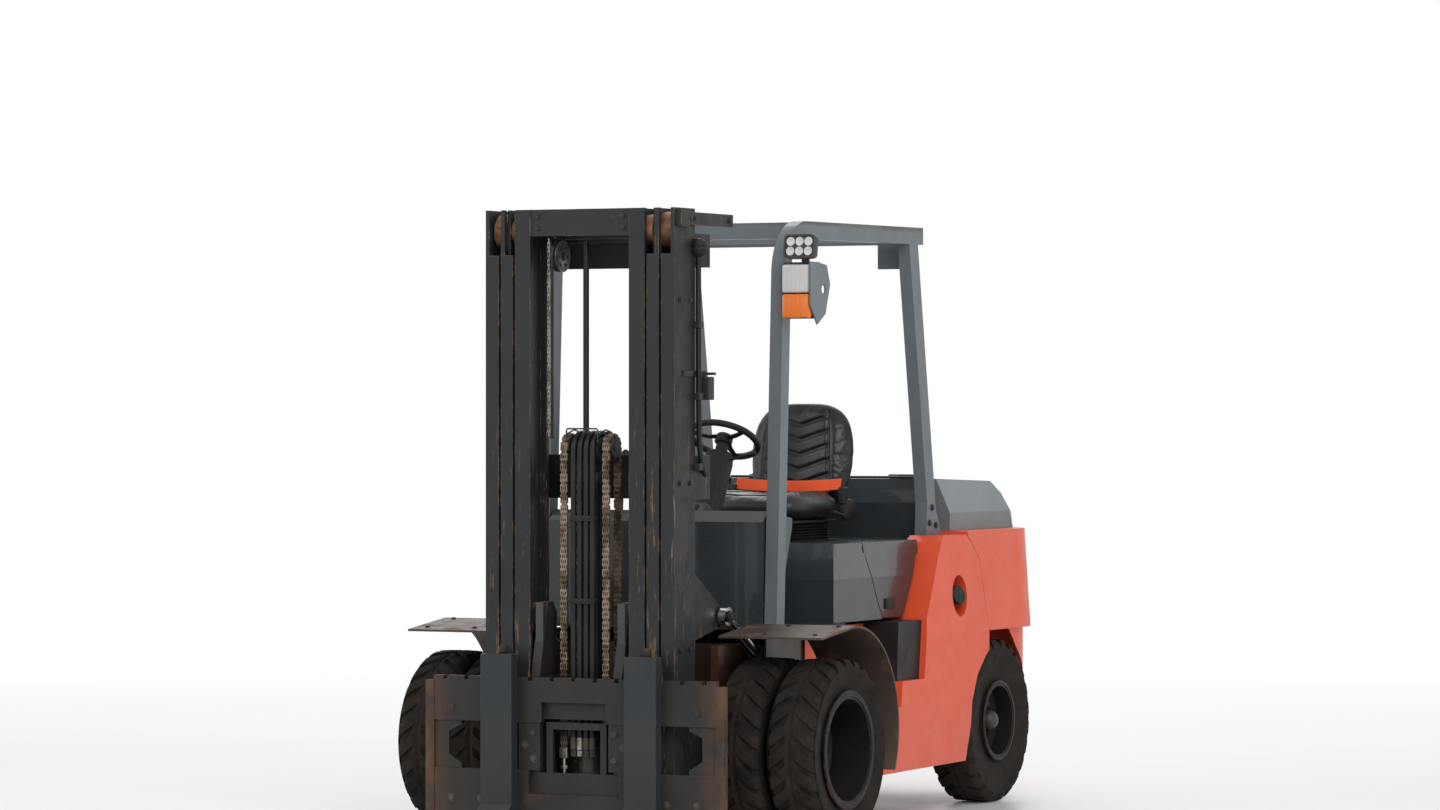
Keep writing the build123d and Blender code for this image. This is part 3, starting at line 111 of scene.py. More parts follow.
class Graph:
    """A small helper round one material's node tree."""

    def __init__(self, name):
        self.material = materials[name] = bpy.data.materials.new(name)
        self.material.use_nodes = True
        self.tree = self.material.node_tree
        self.shader = self.tree.nodes["Principled BSDF"]
        self.coordinates = self.add("ShaderNodeTexCoord").outputs["Object"]

    def add(self, kind, **values):
        node = self.tree.nodes.new(kind)
        for key, value in values.items():
            setattr(node, key, value)
        return node

    def link(self, start, end):
        self.tree.links.new(start, end)

    def noise(self, scale, detail=4.0, rough=0.55, stretch=None):
        node = self.add("ShaderNodeTexNoise")
        node.inputs["Scale"].default_value = scale
        node.inputs["Detail"].default_value = detail
        node.inputs["Roughness"].default_value = rough
        source = self.coordinates
        if stretch:
            mapping = self.add("ShaderNodeMapping")
            mapping.inputs["Scale"].default_value = stretch
            self.link(self.coordinates, mapping.inputs["Vector"])
            source = mapping.outputs["Vector"]
        self.link(source, node.inputs["Vector"])
        return node.outputs["Fac"]

    def ramp(self, source, low, high, start=0.0, end=1.0):
        node = self.add("ShaderNodeMapRange", clamp=True)
        node.inputs["From Min"].default_value = low
        node.inputs["From Max"].default_value = high
        node.inputs["To Min"].default_value = start
        node.inputs["To Max"].default_value = end
        self.link(source, node.inputs["Value"])
        return node.outputs["Result"]

    def mix(self, factor, first, second):
        node = self.add("ShaderNodeMix", data_type="RGBA")
        self.link(factor, node.inputs["Factor"])
        for socket, value in ((node.inputs[6], first), (node.inputs[7], second)):
            if isinstance(value, tuple):
                socket.default_value = (*value, 1)
            else:
                self.link(value, socket)
        return node.outputs[2]

    def maths(self, operation, first, second):
        node = self.add("ShaderNodeMath", operation=operation, use_clamp=True)
        for socket, value in zip(node.inputs, (first, second)):
            if isinstance(value, (int, float)):
                socket.default_value = value
            else:
                self.link(value, socket)
        return node.outputs["Value"]

    def edges(self, radius):
        """Nearly 0 on flat faces and more along edges."""
        bevel = self.add("ShaderNodeBevel", samples=4)
        bevel.inputs["Radius"].default_value = radius
        geometry = self.add("ShaderNodeNewGeometry")
        dot = self.add("ShaderNodeVectorMath", operation="DOT_PRODUCT")
        self.link(bevel.outputs["Normal"], dot.inputs[0])
        self.link(geometry.outputs["Normal"], dot.inputs[1])
        return self.ramp(dot.outputs["Value"], 1.0, 0.75)

    def part_of_place(self, letter):
        split = self.add("ShaderNodeSeparateXYZ")
        self.link(self.coordinates, split.inputs["Vector"])
        return split.outputs[letter]

    def height(self, low, high):
        """1 at the low height, 0 at the high one."""
        return self.ramp(self.part_of_place("Z"), high, low)

    def across(self):
        """How far from the middle plane."""
        source = self.part_of_place("X")
        node = self.add("ShaderNodeMath", operation="ABSOLUTE")
        self.link(source, node.inputs[0])
        return node.outputs["Value"]

    def along(self):
        """How far back, from the front axle."""
        source = self.part_of_place("Y")
        node = self.add("ShaderNodeMath", operation="SUBTRACT")
        self.link(source, node.inputs[0])
        node.inputs[1].default_value = front_axle.y
        return node.outputs["Value"]

    def bump(self, source, strength, distance=0.002):
        node = self.add("ShaderNodeBump")
        node.inputs["Strength"].default_value = strength
        node.inputs["Distance"].default_value = distance
        self.link(source, node.inputs["Height"])
        self.link(node.outputs["Normal"], self.shader.inputs["Normal"])


def painted(name, colour, dark, wear, wear_amount=0.5, rough=0.4, dust=(0.35, 0.29, 0.23), dust_top=0.5,
            dust_amount=0.5, coat=0.0, edge=0.006, streaks=0.0, streak_top=3.0, ends=None, top_stain=None,
            grain=90.0, shine=0.35, painted_shade=None):
    """Paint with cloudy fading, chips along edges and in patches, dust low down, and fine orange peel; on
    request also near-black with rust patches on inner faces, as painted shade, and ahead of a front line.
    """
    graph = Graph(name)
    cloud = graph.noise(2.2, 5)
    base = graph.mix(graph.ramp(cloud, 0.35, 0.7), colour, dark)
    patches = graph.ramp(graph.noise(9.0, 8, 0.7), 0.66 - 0.16 * wear_amount, 0.72 - 0.12 * wear_amount)
    chips = graph.maths("MULTIPLY", graph.edges(edge), graph.ramp(graph.noise(14.0, 6, 0.7), 0.50, 0.60))
    mask = graph.maths("ADD", graph.maths("MULTIPLY", patches, wear_amount), chips)
    if streaks:
        runs = graph.ramp(graph.noise(5.0, 8, 0.75, (9.0, 9.0, 0.8)), 0.58, 0.64, 0.0, streaks)
        runs = graph.maths("MULTIPLY", runs, graph.height(streak_top - 0.5, streak_top))
        mask = graph.maths("ADD", mask, runs)
    if ends:
        far = graph.ramp(graph.across(), ends - 0.05, ends + 0.05)
        mask = graph.maths("ADD", mask, graph.maths("MULTIPLY", far,
                graph.ramp(graph.noise(8.0, 6), 0.3, 0.6)))
    if top_stain:
        high = graph.maths("SUBTRACT", 1.0, graph.height(top_stain, top_stain + 0.012))
        mask = graph.maths("ADD", mask, graph.maths("MULTIPLY", high,
                graph.ramp(graph.noise(5.0, 6), 0.3, 0.6)))
    worn = graph.mix(mask, base, wear)
    low_dust = graph.maths("MULTIPLY", graph.height(0.05, dust_top),
            graph.ramp(graph.noise(5.0, 5), 0.3, 0.75))
    dusty = graph.mix(graph.maths("MULTIPLY", low_dust, dust_amount), worn, dust)
    # Painted shade: faces nearer the middle than the reach turn near-black with rust patches in place of the
    # paint. Faces ahead of the front line get the same near-black, for the dark insert in front of the side
    # panels.
    if painted_shade:
        shade, reach, front = painted_shade
        painted_shade_mask = graph.maths("ADD", graph.ramp(graph.across(), reach, reach - 0.004),
                graph.ramp(graph.along(), front, front - 0.004))
        dusty = graph.mix(painted_shade_mask, dusty, graph.mix(graph.ramp(graph.noise(6.0, 6), 0.35, 0.75), shade, RUST))
    graph.link(dusty, graph.shader.inputs["Base Color"])
    graph.shader.inputs["Specular IOR Level"].default_value = shine
    graph.link(graph.ramp(graph.maths("ADD", mask, graph.noise(14.0, 3)), 0.2, 1.4, rough * 0.75,
            min(rough * 2, 0.9)),
               graph.shader.inputs["Roughness"])
    graph.shader.inputs["Coat Weight"].default_value = coat
    graph.bump(graph.maths("ADD", graph.noise(grain, 3), mask), 0.25, 0.0012)
    return graph.material


def rubber(name, colour, dust):
    graph = Graph(name)
    mask = graph.ramp(graph.noise(7.0, 6, 0.7), 0.35, 0.7)
    graph.link(graph.mix(mask, colour, dust), graph.shader.inputs["Base Color"])
    graph.link(graph.ramp(graph.noise(18.0, 4), 0.2, 0.8, 0.75, 0.95), graph.shader.inputs["Roughness"])
    graph.shader.inputs["Specular IOR Level"].default_value = 0.15
    graph.bump(graph.noise(160.0, 5, 0.7), 0.5, 0.0015)
    return graph.material


def plastic(name, colour, rough=0.5, grain=300.0, bump=0.25, light=None, shine=0.3):
    graph = Graph(name)
    graph.shader.inputs["Specular IOR Level"].default_value = shine
    light = light or tuple(min(1.0, c * 1.7 + 0.01) for c in colour)
    graph.link(graph.mix(graph.ramp(graph.noise(5.0, 5), 0.4, 0.8), colour, light),
               graph.shader.inputs["Base Color"])
    graph.link(graph.ramp(graph.noise(12.0, 4), 0.2, 0.8, rough * 0.8, min(1.0, rough * 1.3)),
               graph.shader.inputs["Roughness"])
    graph.bump(graph.noise(grain, 4), bump, 0.0006)
    return graph.material


def bare_metal(name, colour, rough=0.3, stain=(0.2, 0.13, 0.08), stain_amount=0.3, metallic=1.0):
    graph = Graph(name)
    mask = graph.ramp(graph.noise(15.0, 7, 0.7), 0.62 - 0.25 * stain_amount, 0.75 - 0.2 * stain_amount)
    graph.link(graph.mix(mask, colour, stain), graph.shader.inputs["Base Color"])
    graph.link(graph.ramp(graph.noise(30.0, 5), 0.2, 0.8, rough * 0.7, min(0.95, rough * 1.6)),
               graph.shader.inputs["Roughness"])
    graph.shader.inputs["Metallic"].default_value = metallic
    graph.bump(graph.noise(120.0, 4), 0.2, 0.0008)
    return graph.material


def lens(name, colour):
    graph = Graph(name)
    wave = graph.add("ShaderNodeTexWave", bands_direction="X")
    wave.inputs["Scale"].default_value = 60
    graph.link(graph.coordinates, wave.inputs["Vector"])
    light = tuple(min(1.0, c * 1.25 + 0.03) for c in colour)
    graph.link(graph.mix(wave.outputs["Fac"], colour, light), graph.shader.inputs["Base Color"])
    graph.shader.inputs["Roughness"].default_value = 0.12
    graph.shader.inputs["Coat Weight"].default_value = 0.6
    graph.bump(wave.outputs["Fac"], 0.4, 0.0015)
    return graph.material


RUST = (0.13, 0.055, 0.024)
TAN = (0.36, 0.20, 0.085)
# Body orange. Its inner faces carry painted shade, near-black with rust patches, and the same near-black
# ahead of the side panels is the dark insert there.
painted("body_orange", (0.80, 0.092, 0.030), (0.72, 0.078, 0.026), (0.25, 0.09, 0.05), 0.10, 0.36,
        dust_amount=0.2, coat=0.08, painted_shade=((0.014, 0.014, 0.014), 0.447, 0.468))
painted("counterweight_orange", (0.80, 0.105, 0.040), (0.74, 0.092, 0.035), (0.30, 0.12, 0.07), 0.08, 0.4,
        dust_amount=0.2, coat=0.08, grain=45.0)
plastic("dark_plastic", (0.008, 0.008, 0.009), 0.5)
painted("axle_black", (0.010, 0.010, 0.010), (0.020, 0.018, 0.016), RUST, 0.5, 0.55, dust_amount=0.5)
painted("rusty_plate", (0.045, 0.030, 0.024), (0.070, 0.045, 0.033), (0.13, 0.064, 0.036), 0.75, 0.5,
        dust_top=0.9, dust_amount=0.3, streaks=0.3)
painted("floor_grey", (0.014, 0.014, 0.014), (0.026, 0.024, 0.022), (0.16, 0.12, 0.09), 0.6, 0.6)
painted("hood_dark", (0.030, 0.036, 0.040), (0.040, 0.046, 0.050), (0.13, 0.10, 0.075), 0.10, 0.22,
        dust_amount=0.1, coat=0.35, edge=0.004)
painted("guard_grey", (0.140, 0.162, 0.172), (0.110, 0.128, 0.138), (0.11, 0.075, 0.05), 0.12, 0.36,
        coat=0.1, top_stain=2.25)
painted("seat_metal", (0.05, 0.052, 0.055), (0.04, 0.042, 0.044), RUST, 0.2, 0.45)
painted("engine", (0.016, 0.017, 0.018), (0.010, 0.010, 0.010), RUST, 0.4, 0.5)
painted("cover_grey", (0.185, 0.207, 0.218), (0.155, 0.174, 0.184), (0.14, 0.10, 0.075), 0.08, 0.36,
        coat=0.2)
rubber("tyre", (0.0115, 0.0098, 0.0088), (0.034, 0.026, 0.020))
painted("rim", (0.006, 0.006, 0.006), (0.012, 0.010, 0.009), RUST, 0.25, 0.5, dust_top=1.0,
        dust_amount=0.03, shine=0.2)
painted("mast_paint", (0.0145, 0.0160, 0.0170), (0.022, 0.023, 0.023), TAN, 0.14, 0.45, dust_amount=0.05,
        streaks=0.6, streak_top=1.6, edge=0.004, shine=0.3)
painted("cylinder_black", (0.009, 0.009, 0.010), (0.016, 0.015, 0.015), RUST, 0.25, 0.35)
bare_metal("chrome_rod", (0.62, 0.62, 0.62), 0.12, (0.3, 0.25, 0.2), 0.1)
bare_metal("chain_steel", (0.30, 0.23, 0.16), 0.42, (0.08, 0.05, 0.03), 0.8, 0.6)
painted("carriage_paint", (0.016, 0.016, 0.0155), (0.026, 0.024, 0.022), (0.115, 0.062, 0.035), 0.35, 0.45,
        dust_amount=0.06, ends=0.55, shine=0.3)
painted("fork_steel", (0.024, 0.028, 0.031), (0.032, 0.036, 0.039), (0.10, 0.08, 0.065), 0.10, 0.34,
        dust_amount=0.05, edge=0.004, shine=0.3)
plastic("seat_vinyl", (0.0065, 0.0065, 0.007), 0.36, 420.0, 0.3, shine=0.45)
extra = {
    "hose": plastic("hose_rubber", (0.005, 0.005, 0.0055), 0.42, 250.0, shine=0.3),
    "zinc": bare_metal("zinc_fitting", (0.34, 0.32, 0.28), 0.38, (0.12, 0.09, 0.06), 0.5),
    "rust": bare_metal("rusty_roller", (0.24, 0.12, 0.06), 0.45, (0.10, 0.045, 0.02), 0.7, 0.5),
    "bolt": painted("bolt_steel", (0.016, 0.016, 0.016), (0.035, 0.030, 0.026), RUST, 0.4, 0.45, edge=0.002),
    "clear": lens("clear_lens", (0.52, 0.52, 0.50)),
    "amber": lens("amber_lens", (0.75, 0.16, 0.008)),
    "red": lens("red_lens", (0.45, 0.012, 0.01)),
    "glass": plastic("display_glass", (0.01, 0.014, 0.016), 0.08, 60.0, 0.02),
    "belt": plastic("belt_webbing", (0.70, 0.075, 0.02), 0.7, 700.0, 0.5),
}


def dress_nodes():
    slots = {entry["node"]: entry["material_slot"] for entry in frame["record"]["subparts"]}
    for name, node in nodes.items():
        node.data.materials.clear()
        node.data.materials.append(materials[slots[name]])


# Mesh helpers
def merged(name, parts, material, body, smooth_angle):
    """One piece from several (verts, faces) parts, smooth where its faces meet at less than the angle."""
    verts = []
    faces = []
    for part_verts, part_faces in parts:
        start = len(verts)
        verts += [tuple(v) for v in part_verts]
        faces += [tuple(i + start for i in face) for face in part_faces]
    mesh = bpy.data.meshes.new(name)
    mesh.from_pydata(verts, [], faces)
    mesh.validate()
    piece = linked(name, mesh)
    mesh.materials.append(material)
    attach(piece, body)
    mesh.set_sharp_from_angle(angle=radians(smooth_angle))
    for face in mesh.polygons:
        face.use_smooth = True
    return piece


def box_part(low, high, bevel=0.0):
    mesh = bmesh.new()
    bmesh.ops.create_cube(mesh, size=1)
    low = Vector(low)
    high = Vector(high)
    for vert in mesh.verts:
        vert.co = Vector([low[i] + (vert.co[i] + 0.5) * (high[i] - low[i]) for i in range(3)])
    if bevel:
        bmesh.ops.bevel(mesh, geom=mesh.edges[:], offset=bevel, segments=3, profile=0.6, affect="EDGES")
    mesh.verts.index_update()
    part = ([v.co.copy() for v in mesh.verts], [tuple(v.index for v in f.verts) for f in mesh.faces])
    mesh.free()
    return part


def lathe_part(profile, origin, axis, steps):
    """A turned part; profile is a closed loop of (distance along axis, radius)."""
    axis = Vector(axis).normalized()
    side = axis.orthogonal().normalized()
    other = axis.cross(side)
    verts = []
    for step in range(steps):
        angle = 2 * pi * step / steps
        out = side * cos(angle) + other * sin(angle)
        verts += [Vector(origin) + axis * along + out * radius for along, radius in profile]
    count = len(profile)
    faces = []
    for step in range(steps):
        after = (step + 1) % steps
        for i in range(count):
            j = (i + 1) % count
            faces.append((step * count + i, step * count + j, after * count + j, after * count + i))
    return verts, faces


def tube_part(points, radius, sides=12):
    """A round tube through points, with capped ends."""
    points = [Vector(p) for p in points]
    verts = []
    side = None
    for i, point in enumerate(points):
        before = points[max(i - 1, 0)]
        after = points[min(i + 1, len(points) - 1)]
        along = (after - before).normalized()
        if side is None:
            side = along.orthogonal().normalized()
        side = (side - along * side.dot(along)).normalized()
        other = along.cross(side)
        for k in range(sides):
            angle = 2 * pi * k / sides
            verts.append(point + (side * cos(angle) + other * sin(angle)) * radius)
    faces = []
    for i in range(len(points) - 1):
        for k in range(sides):
            n = (k + 1) % sides
            faces.append((i * sides + k, i * sides + n, (i + 1) * sides + n, (i + 1) * sides + k))
    faces.append(tuple(range(sides))[::-1])
    faces.append(tuple((len(points) - 1) * sides + k for k in range(sides)))
    return verts, faces


# Tyres
def tyre_part(low, high, centre_point, outer, bore, lugs, groove, skew, tread_depth=0.013):
    """A solid tyre whose shoulder lugs run diagonally; grid lines follow the lugs' edges."""

    def point(u, radius, angle):
        return (middle + u * half, centre_point.y + radius * cos(angle),
                centre_point.z + radius * sin(angle))

    half = (high - low) / 2
    middle = (low + high) / 2
    across = [0.0, 0.14, 0.28, 0.44, 0.62, 0.80, 0.93, 0.985, 1.0]
    across = [-u for u in across[:0:-1]] + across
    cells = [0.0, 0.5 * groove, groove, groove + 0.04, 0.55 + 0.3 * groove, 0.96]
    ring = []
    for lug in range(lugs):
        for k, cell in enumerate(cells):
            ring.append((lug + cell, k <= 2))
    profile_in = [(-1.0, 0.80), (-0.985, 0.62), (-0.90, 0.42), (-0.82, 0.18), (-0.76, 0.0)]
    verts = []
    count = len(across) + 2 * len(profile_in)
    for where, in_groove in ring:
        for u, r in reversed(profile_in):
            angle = 2 * pi * (where + skew * 0.95) / lugs
            radius = bore + (outer - bore) * r
            verts.append(point(u, radius, angle))
        for u in across:
            angle = 2 * pi * (where + skew * abs(u)) / lugs
            fall = max(0.0, abs(u) - 0.80) / 0.20
            radius = outer - 0.030 * fall ** 2.2 - 0.004 * u * u
            if in_groove and abs(u) > 0.2:
                radius -= tread_depth * min(1.0, (abs(u) - 0.2) / 0.12)
            if abs(u) <= 0.14:
                radius -= tread_depth * 0.4 * (1 if abs(u) < 0.1 else 0)
            verts.append(point(u, radius, angle))
        for u, r in profile_in:
            angle = 2 * pi * (where + skew * 0.95) / lugs
            radius = bore + (outer - bore) * r
            verts.append(point(-u, radius, angle))
    faces = []
    total = len(ring)
    for i in range(total):
        j = (i + 1) % total
        for k in range(count):
            n = (k + 1) % count
            faces.append((i * count + k, i * count + n, j * count + n, j * count + k))
    return verts, faces


def tread(name, node, parts, body):
    tyre = merged(name, parts, materials["tyre"], body, 32)
    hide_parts(node)


def make_tyres():
    for side in ("left", "right"):
        node = f"front_tyres_{side}"
        low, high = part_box(node)
        width = (high.x - low.x - 0.03) / 2
        outer = (high.z - low.z) / 2
        parts = [tyre_part(x, x_end, centre(node), outer, FRONT_BORE, 26, 0.34, 0.9)
                 for x, x_end in ((low.x, low.x + width), (high.x - width, high.x))]
        tread(f"front_tyre_treads_{side}", node, parts, f"front_wheel_{side}")
        node = f"rear_tyre_{side}"
        low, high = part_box(node)
        part = tyre_part(low.x, high.x, centre(node), (high.z - low.z) / 2, REAR_BORE, 24, 0.36, 0.8)
        tread(f"rear_tyre_tread_{side}", node, [part], f"rear_wheel_{side}")


# Parts in millimetres from the front axle's line on the ground
def at(x, y, z):
    return Vector((x / 1000, front_axle.y + y / 1000, z / 1000))


def slab(x, y, z, bevel=2.0):
    return box_part(at(min(x), y[0], z[0]), at(max(x), y[1], z[1]), bevel / 1000)


def turned(profile, place, axis, steps=32):
    return lathe_part([(along / 1000, radius / 1000) for along, radius in profile], place, axis, steps)


def pipe(points, radius, sides=14):
    return tube_part([at(*point) for point in points], radius / 1000, sides)


def superellipse(angle, power):
    c = cos(angle)
    s = sin(angle)
    return (abs(c) ** power * (1 if c > 0 else -1), abs(s) ** power * (1 if s > 0 else -1))


def rounded_ring(place, first, second, half_first, half_second, power=0.5, steps=40):
    ring = []
    for step in range(steps):
        c, s = superellipse(2 * pi * (step + 0.5) / steps, power)
        reach = Vector(place) + Vector(first) * c * half_first / 1000
        ring.append(reach + Vector(second) * s * half_second / 1000)
    return ring


def loft_part(rings):
    """A skin over rings of equal length, closed at both ends."""
    count = len(rings[0])
    verts = [point for ring in rings for point in ring]
    faces = []
    for i in range(len(rings) - 1):
        for k in range(count):
            n = (k + 1) % count
            faces.append((i * count + k, i * count + n, (i + 1) * count + n, (i + 1) * count + k))
    faces.append(tuple(range(count))[::-1])
    faces.append(tuple((len(rings) - 1) * count + k for k in range(count)))
    return verts, faces


def bolt_parts(place, axis, size=9.0, tall=8.0):
    """A hexagon head on a washer."""
    return [turned([(0, 0.1), (0, size * 1.4), (1.6, size * 1.4), (1.6, 0.1)], place, axis, 20),
            turned([(1.6, 0.1), (1.6, size), (tall - 1, size), (tall, size * 0.8), (tall, 0.1)], place,
            axis, 6)]


def fitted(name, parts, material, body, angle=35):
    piece = merged(name, parts, material, body, angle)
    return piece


def molded(name, parts, body, angle=35):
    return fitted(name, parts, materials["dark_plastic"], body, angle)


def forged(name, parts, body, angle=35):
    return fitted(name, parts, extra["bolt"], body, angle)


def bolts(name, places, axis, body, size=9.0, tall=8.0):
    parts = []
    for place in places:
        parts += bolt_parts(at(*place), axis, size, tall)
    return forged(name, parts, body, 25)


def side_bolts(name, places, body, size, tall):
    """Bolts on the left side, and the same on the right side as a piece of their own."""
    bolts(name, places, (1, 0, 0), body, size, tall)
    bolts(f"{name}_right", [(-x, y, z) for x, y, z in places], (-1, 0, 0), body, size, tall)


def both(places):
    """The places and their mirror images across the middle plane."""
    return list(places) + [(-x, y, z) for x, y, z in places]


# Seat
def pad(name, outline, place, front, back, body, cap, rows=16, steps=72):
    """A closed padded form over an outline, puffed by cloth pressure."""
    rings = []
    spans = [(1 - (1 - i / rows) ** 2.0, front) for i in range(1, rows + 1)]
    spans += [(1 - (1 - i / rows) ** 2.0, back) for i in range(rows - 1, 0, -1)]
    for reach, depth in spans:
        ring = []
        for step in range(steps):
            u, v = outline(2 * pi * (step + 0.5) / steps)
            ring.append(place(u * reach, v * reach, depth(u * reach, v * reach, reach)))
        rings.append(ring)
    piece = merged(name, [loft_part(rings)], materials["seat_vinyl"], body, 70)
    remesh = piece.modifiers.new("Remesh", "REMESH")
    remesh.mode = "VOXEL"
    remesh.voxel_size = 0.0055
    settle(piece, remesh)
    puff(piece, cap)
    return piece


def settle(piece, modifier):
    """Keep the modifier's result as the piece's own mesh."""
    shape = piece.evaluated_get(bpy.context.evaluated_depsgraph_get())
    mesh = bpy.data.meshes.new_from_object(shape)
    piece.modifiers.remove(modifier)
    material = piece.data.materials[0]
    piece.data = mesh
    if not mesh.materials:
        mesh.materials.append(material)


def puff(piece, cap):
    """Cloth pressure swells the pad; no point moves further than the cap."""
    start = [vert.co.copy() for vert in piece.data.vertices]
    cloth = piece.modifiers.new("Cloth", "CLOTH")
    cloth.settings.use_pressure = True
    cloth.settings.uniform_pressure_force = 4
    cloth.settings.effector_weights.gravity = 0
    for number in range(1, 21):
        bpy.context.scene.frame_set(number)
    shape = piece.evaluated_get(bpy.context.evaluated_depsgraph_get())
    moved = [vert.co.copy() for vert in shape.data.vertices]
    piece.modifiers.remove(cloth)
    bpy.context.scene.frame_set(1)
    for vert, before, after in zip(piece.data.vertices, start, moved):
        shift = after - before
        if shift.length > cap:
            shift *= cap / shift.length
        vert.co = before + shift


def press(piece, depth):
    """Sew channels in: each point moves inwards by the depth given for its place and normal."""
    normals = [vert.normal.copy() for vert in piece.data.vertices]
    for vert, normal in zip(piece.data.vertices, normals):
        vert.co -= normal * depth(vert.co, normal) / 1000
    for face in piece.data.polygons:
        face.use_smooth = True
    divide = piece.modifiers.new("Subdivision", "SUBSURF")
    divide.levels = 1
    divide.render_levels = 1


def valley(distance, width):
    return max(0.0, 1 - (distance / width) ** 2) ** 2


def make_seat():
    def back_outline(angle):
        c, s = superellipse(angle, 0.62)
        narrow = 1 - 0.13 * max(0.0, -s) - 0.06 * max(0.0, s)
        return 228 * c * narrow, 224 * s

    def back_place(u, v, depth):
        return at(u, 1402 + v * 0.12 + depth, 1371 + v)

    def back_front(u, _, reach):
        bolster = 15 * valley(abs(u) - 168, 60) - 9 * valley(u, 130)
        return -(38 * max(0.0, 1 - reach ** 6) ** 0.5) - bolster * (1 - reach ** 6)

    def back_rear(_u, _v, reach):
        return 30 * max(0.0, 1 - reach ** 4) ** 0.5

    back = pad("seat_back_pad", back_outline, back_place, back_front, back_rear, "hood", 0.007)

    def back_channels(place, normal):
        if normal.y > -0.25:
            return 0.0
        x = abs(place.x) * 1000
        z = place.z * 1000
        depth = 9 * valley(x - 132 + (z - 1371) * 0.08, 13) * (1 if 1190 < z < 1560 else 0)
        if x < 130 - (z - 1371) * 0.08:
            for row in range(6):
                depth += 8 * valley(z - (1212 + row * 58 + x * 0.32), 13)
        return depth

    press(back, back_channels)
    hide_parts("seat_back")

    def base_outline(angle):
        c, s = superellipse(angle, 0.38)
        return 228 * c, 229 * s

    def base_place(u, v, depth):
        return at(u, 1092 + v, 1190 + depth)

    def base_top(u, v, reach):
        bolster = 10 * valley(abs(u) - 182, 60) - 6 * valley(u, 140) - 12 * valley(v + 229, 90)
        return 47 * max(0.0, 1 - reach ** 8) ** 0.5 + bolster * (1 - reach ** 8)

    def base_under(_u, _v, reach):
        return -47 * max(0.0, 1 - reach ** 12) ** 0.5

    base = pad("seat_cushion_pad", base_outline, base_place, base_top, base_under, "hood", 0.006)

    def base_channels(place, normal):
        if normal.z < 0.25:
            return 0.0
        x = abs(place.x) * 1000
        y = (place.y - front_axle.y) * 1000
        depth = 9 * valley(x - 140, 13)
        if x < 138:
            for row in range(5):
                depth += 8 * valley(y - (930 + row * 72), 13)
        return depth

    press(base, base_channels)
    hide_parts("seat_cushion")

    across = (1, 0, 0)
    along = (0, 1, 0)
    rings = []
    for fold in range(13):
        half = 0 if fold % 2 else 11
        rings.append(rounded_ring(at(0, 1103, 1059 + fold * 5.4), across, along, 176 + half, 196 + half,
                0.3))
    bellows = molded("seat_bellows", [loft_part(rings), slab((-189, 189), (895, 1312), (1125, 1136.5), 4)],
            "hood", 20)
    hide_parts("seat_base")
    trims_and_shadow_bands = []
    for side in (1, -1):
        rings = [rounded_ring(at(side * x, 1320, 1172), along, (0, 0, 1), half, half * 0.7, 0.7, 28)
                 for x, half in ((231, 62), (243, 60), (248, 50))]
        trims_and_shadow_bands.append(loft_part(rings))
        trims_and_shadow_bands += [pipe([(side * 243, 1262, 1150), (side * 246, 1200, 1160), (side * 246, 1150, 1168)], 7)]
    trims_and_shadow_bands.append(slab((222, 246), (1255, 1300), (1196, 1262), 6))
    trims_and_shadow_bands.append(slab((-246, -222), (1250, 1300), (1196, 1272), 8))
    molded("seat_side_trims", trims_and_shadow_bands, "hood")
    rings = []
    for step in range(17):
        x = 226 - step * 452 / 16
        drop = 10 * (1 - (x / 226) ** 2)
        front = 1272 - 6 * (1 - (x / 226) ** 2)
        rings.append(rounded_ring(at(x, front, 1274 - drop), (0, 0.35, 0.94), (0, 0.94, -0.35), 23, 1.4,
                0.5, 12))
    fitted("seat_belt_strap", [loft_part(rings)], extra["belt"], "hood")


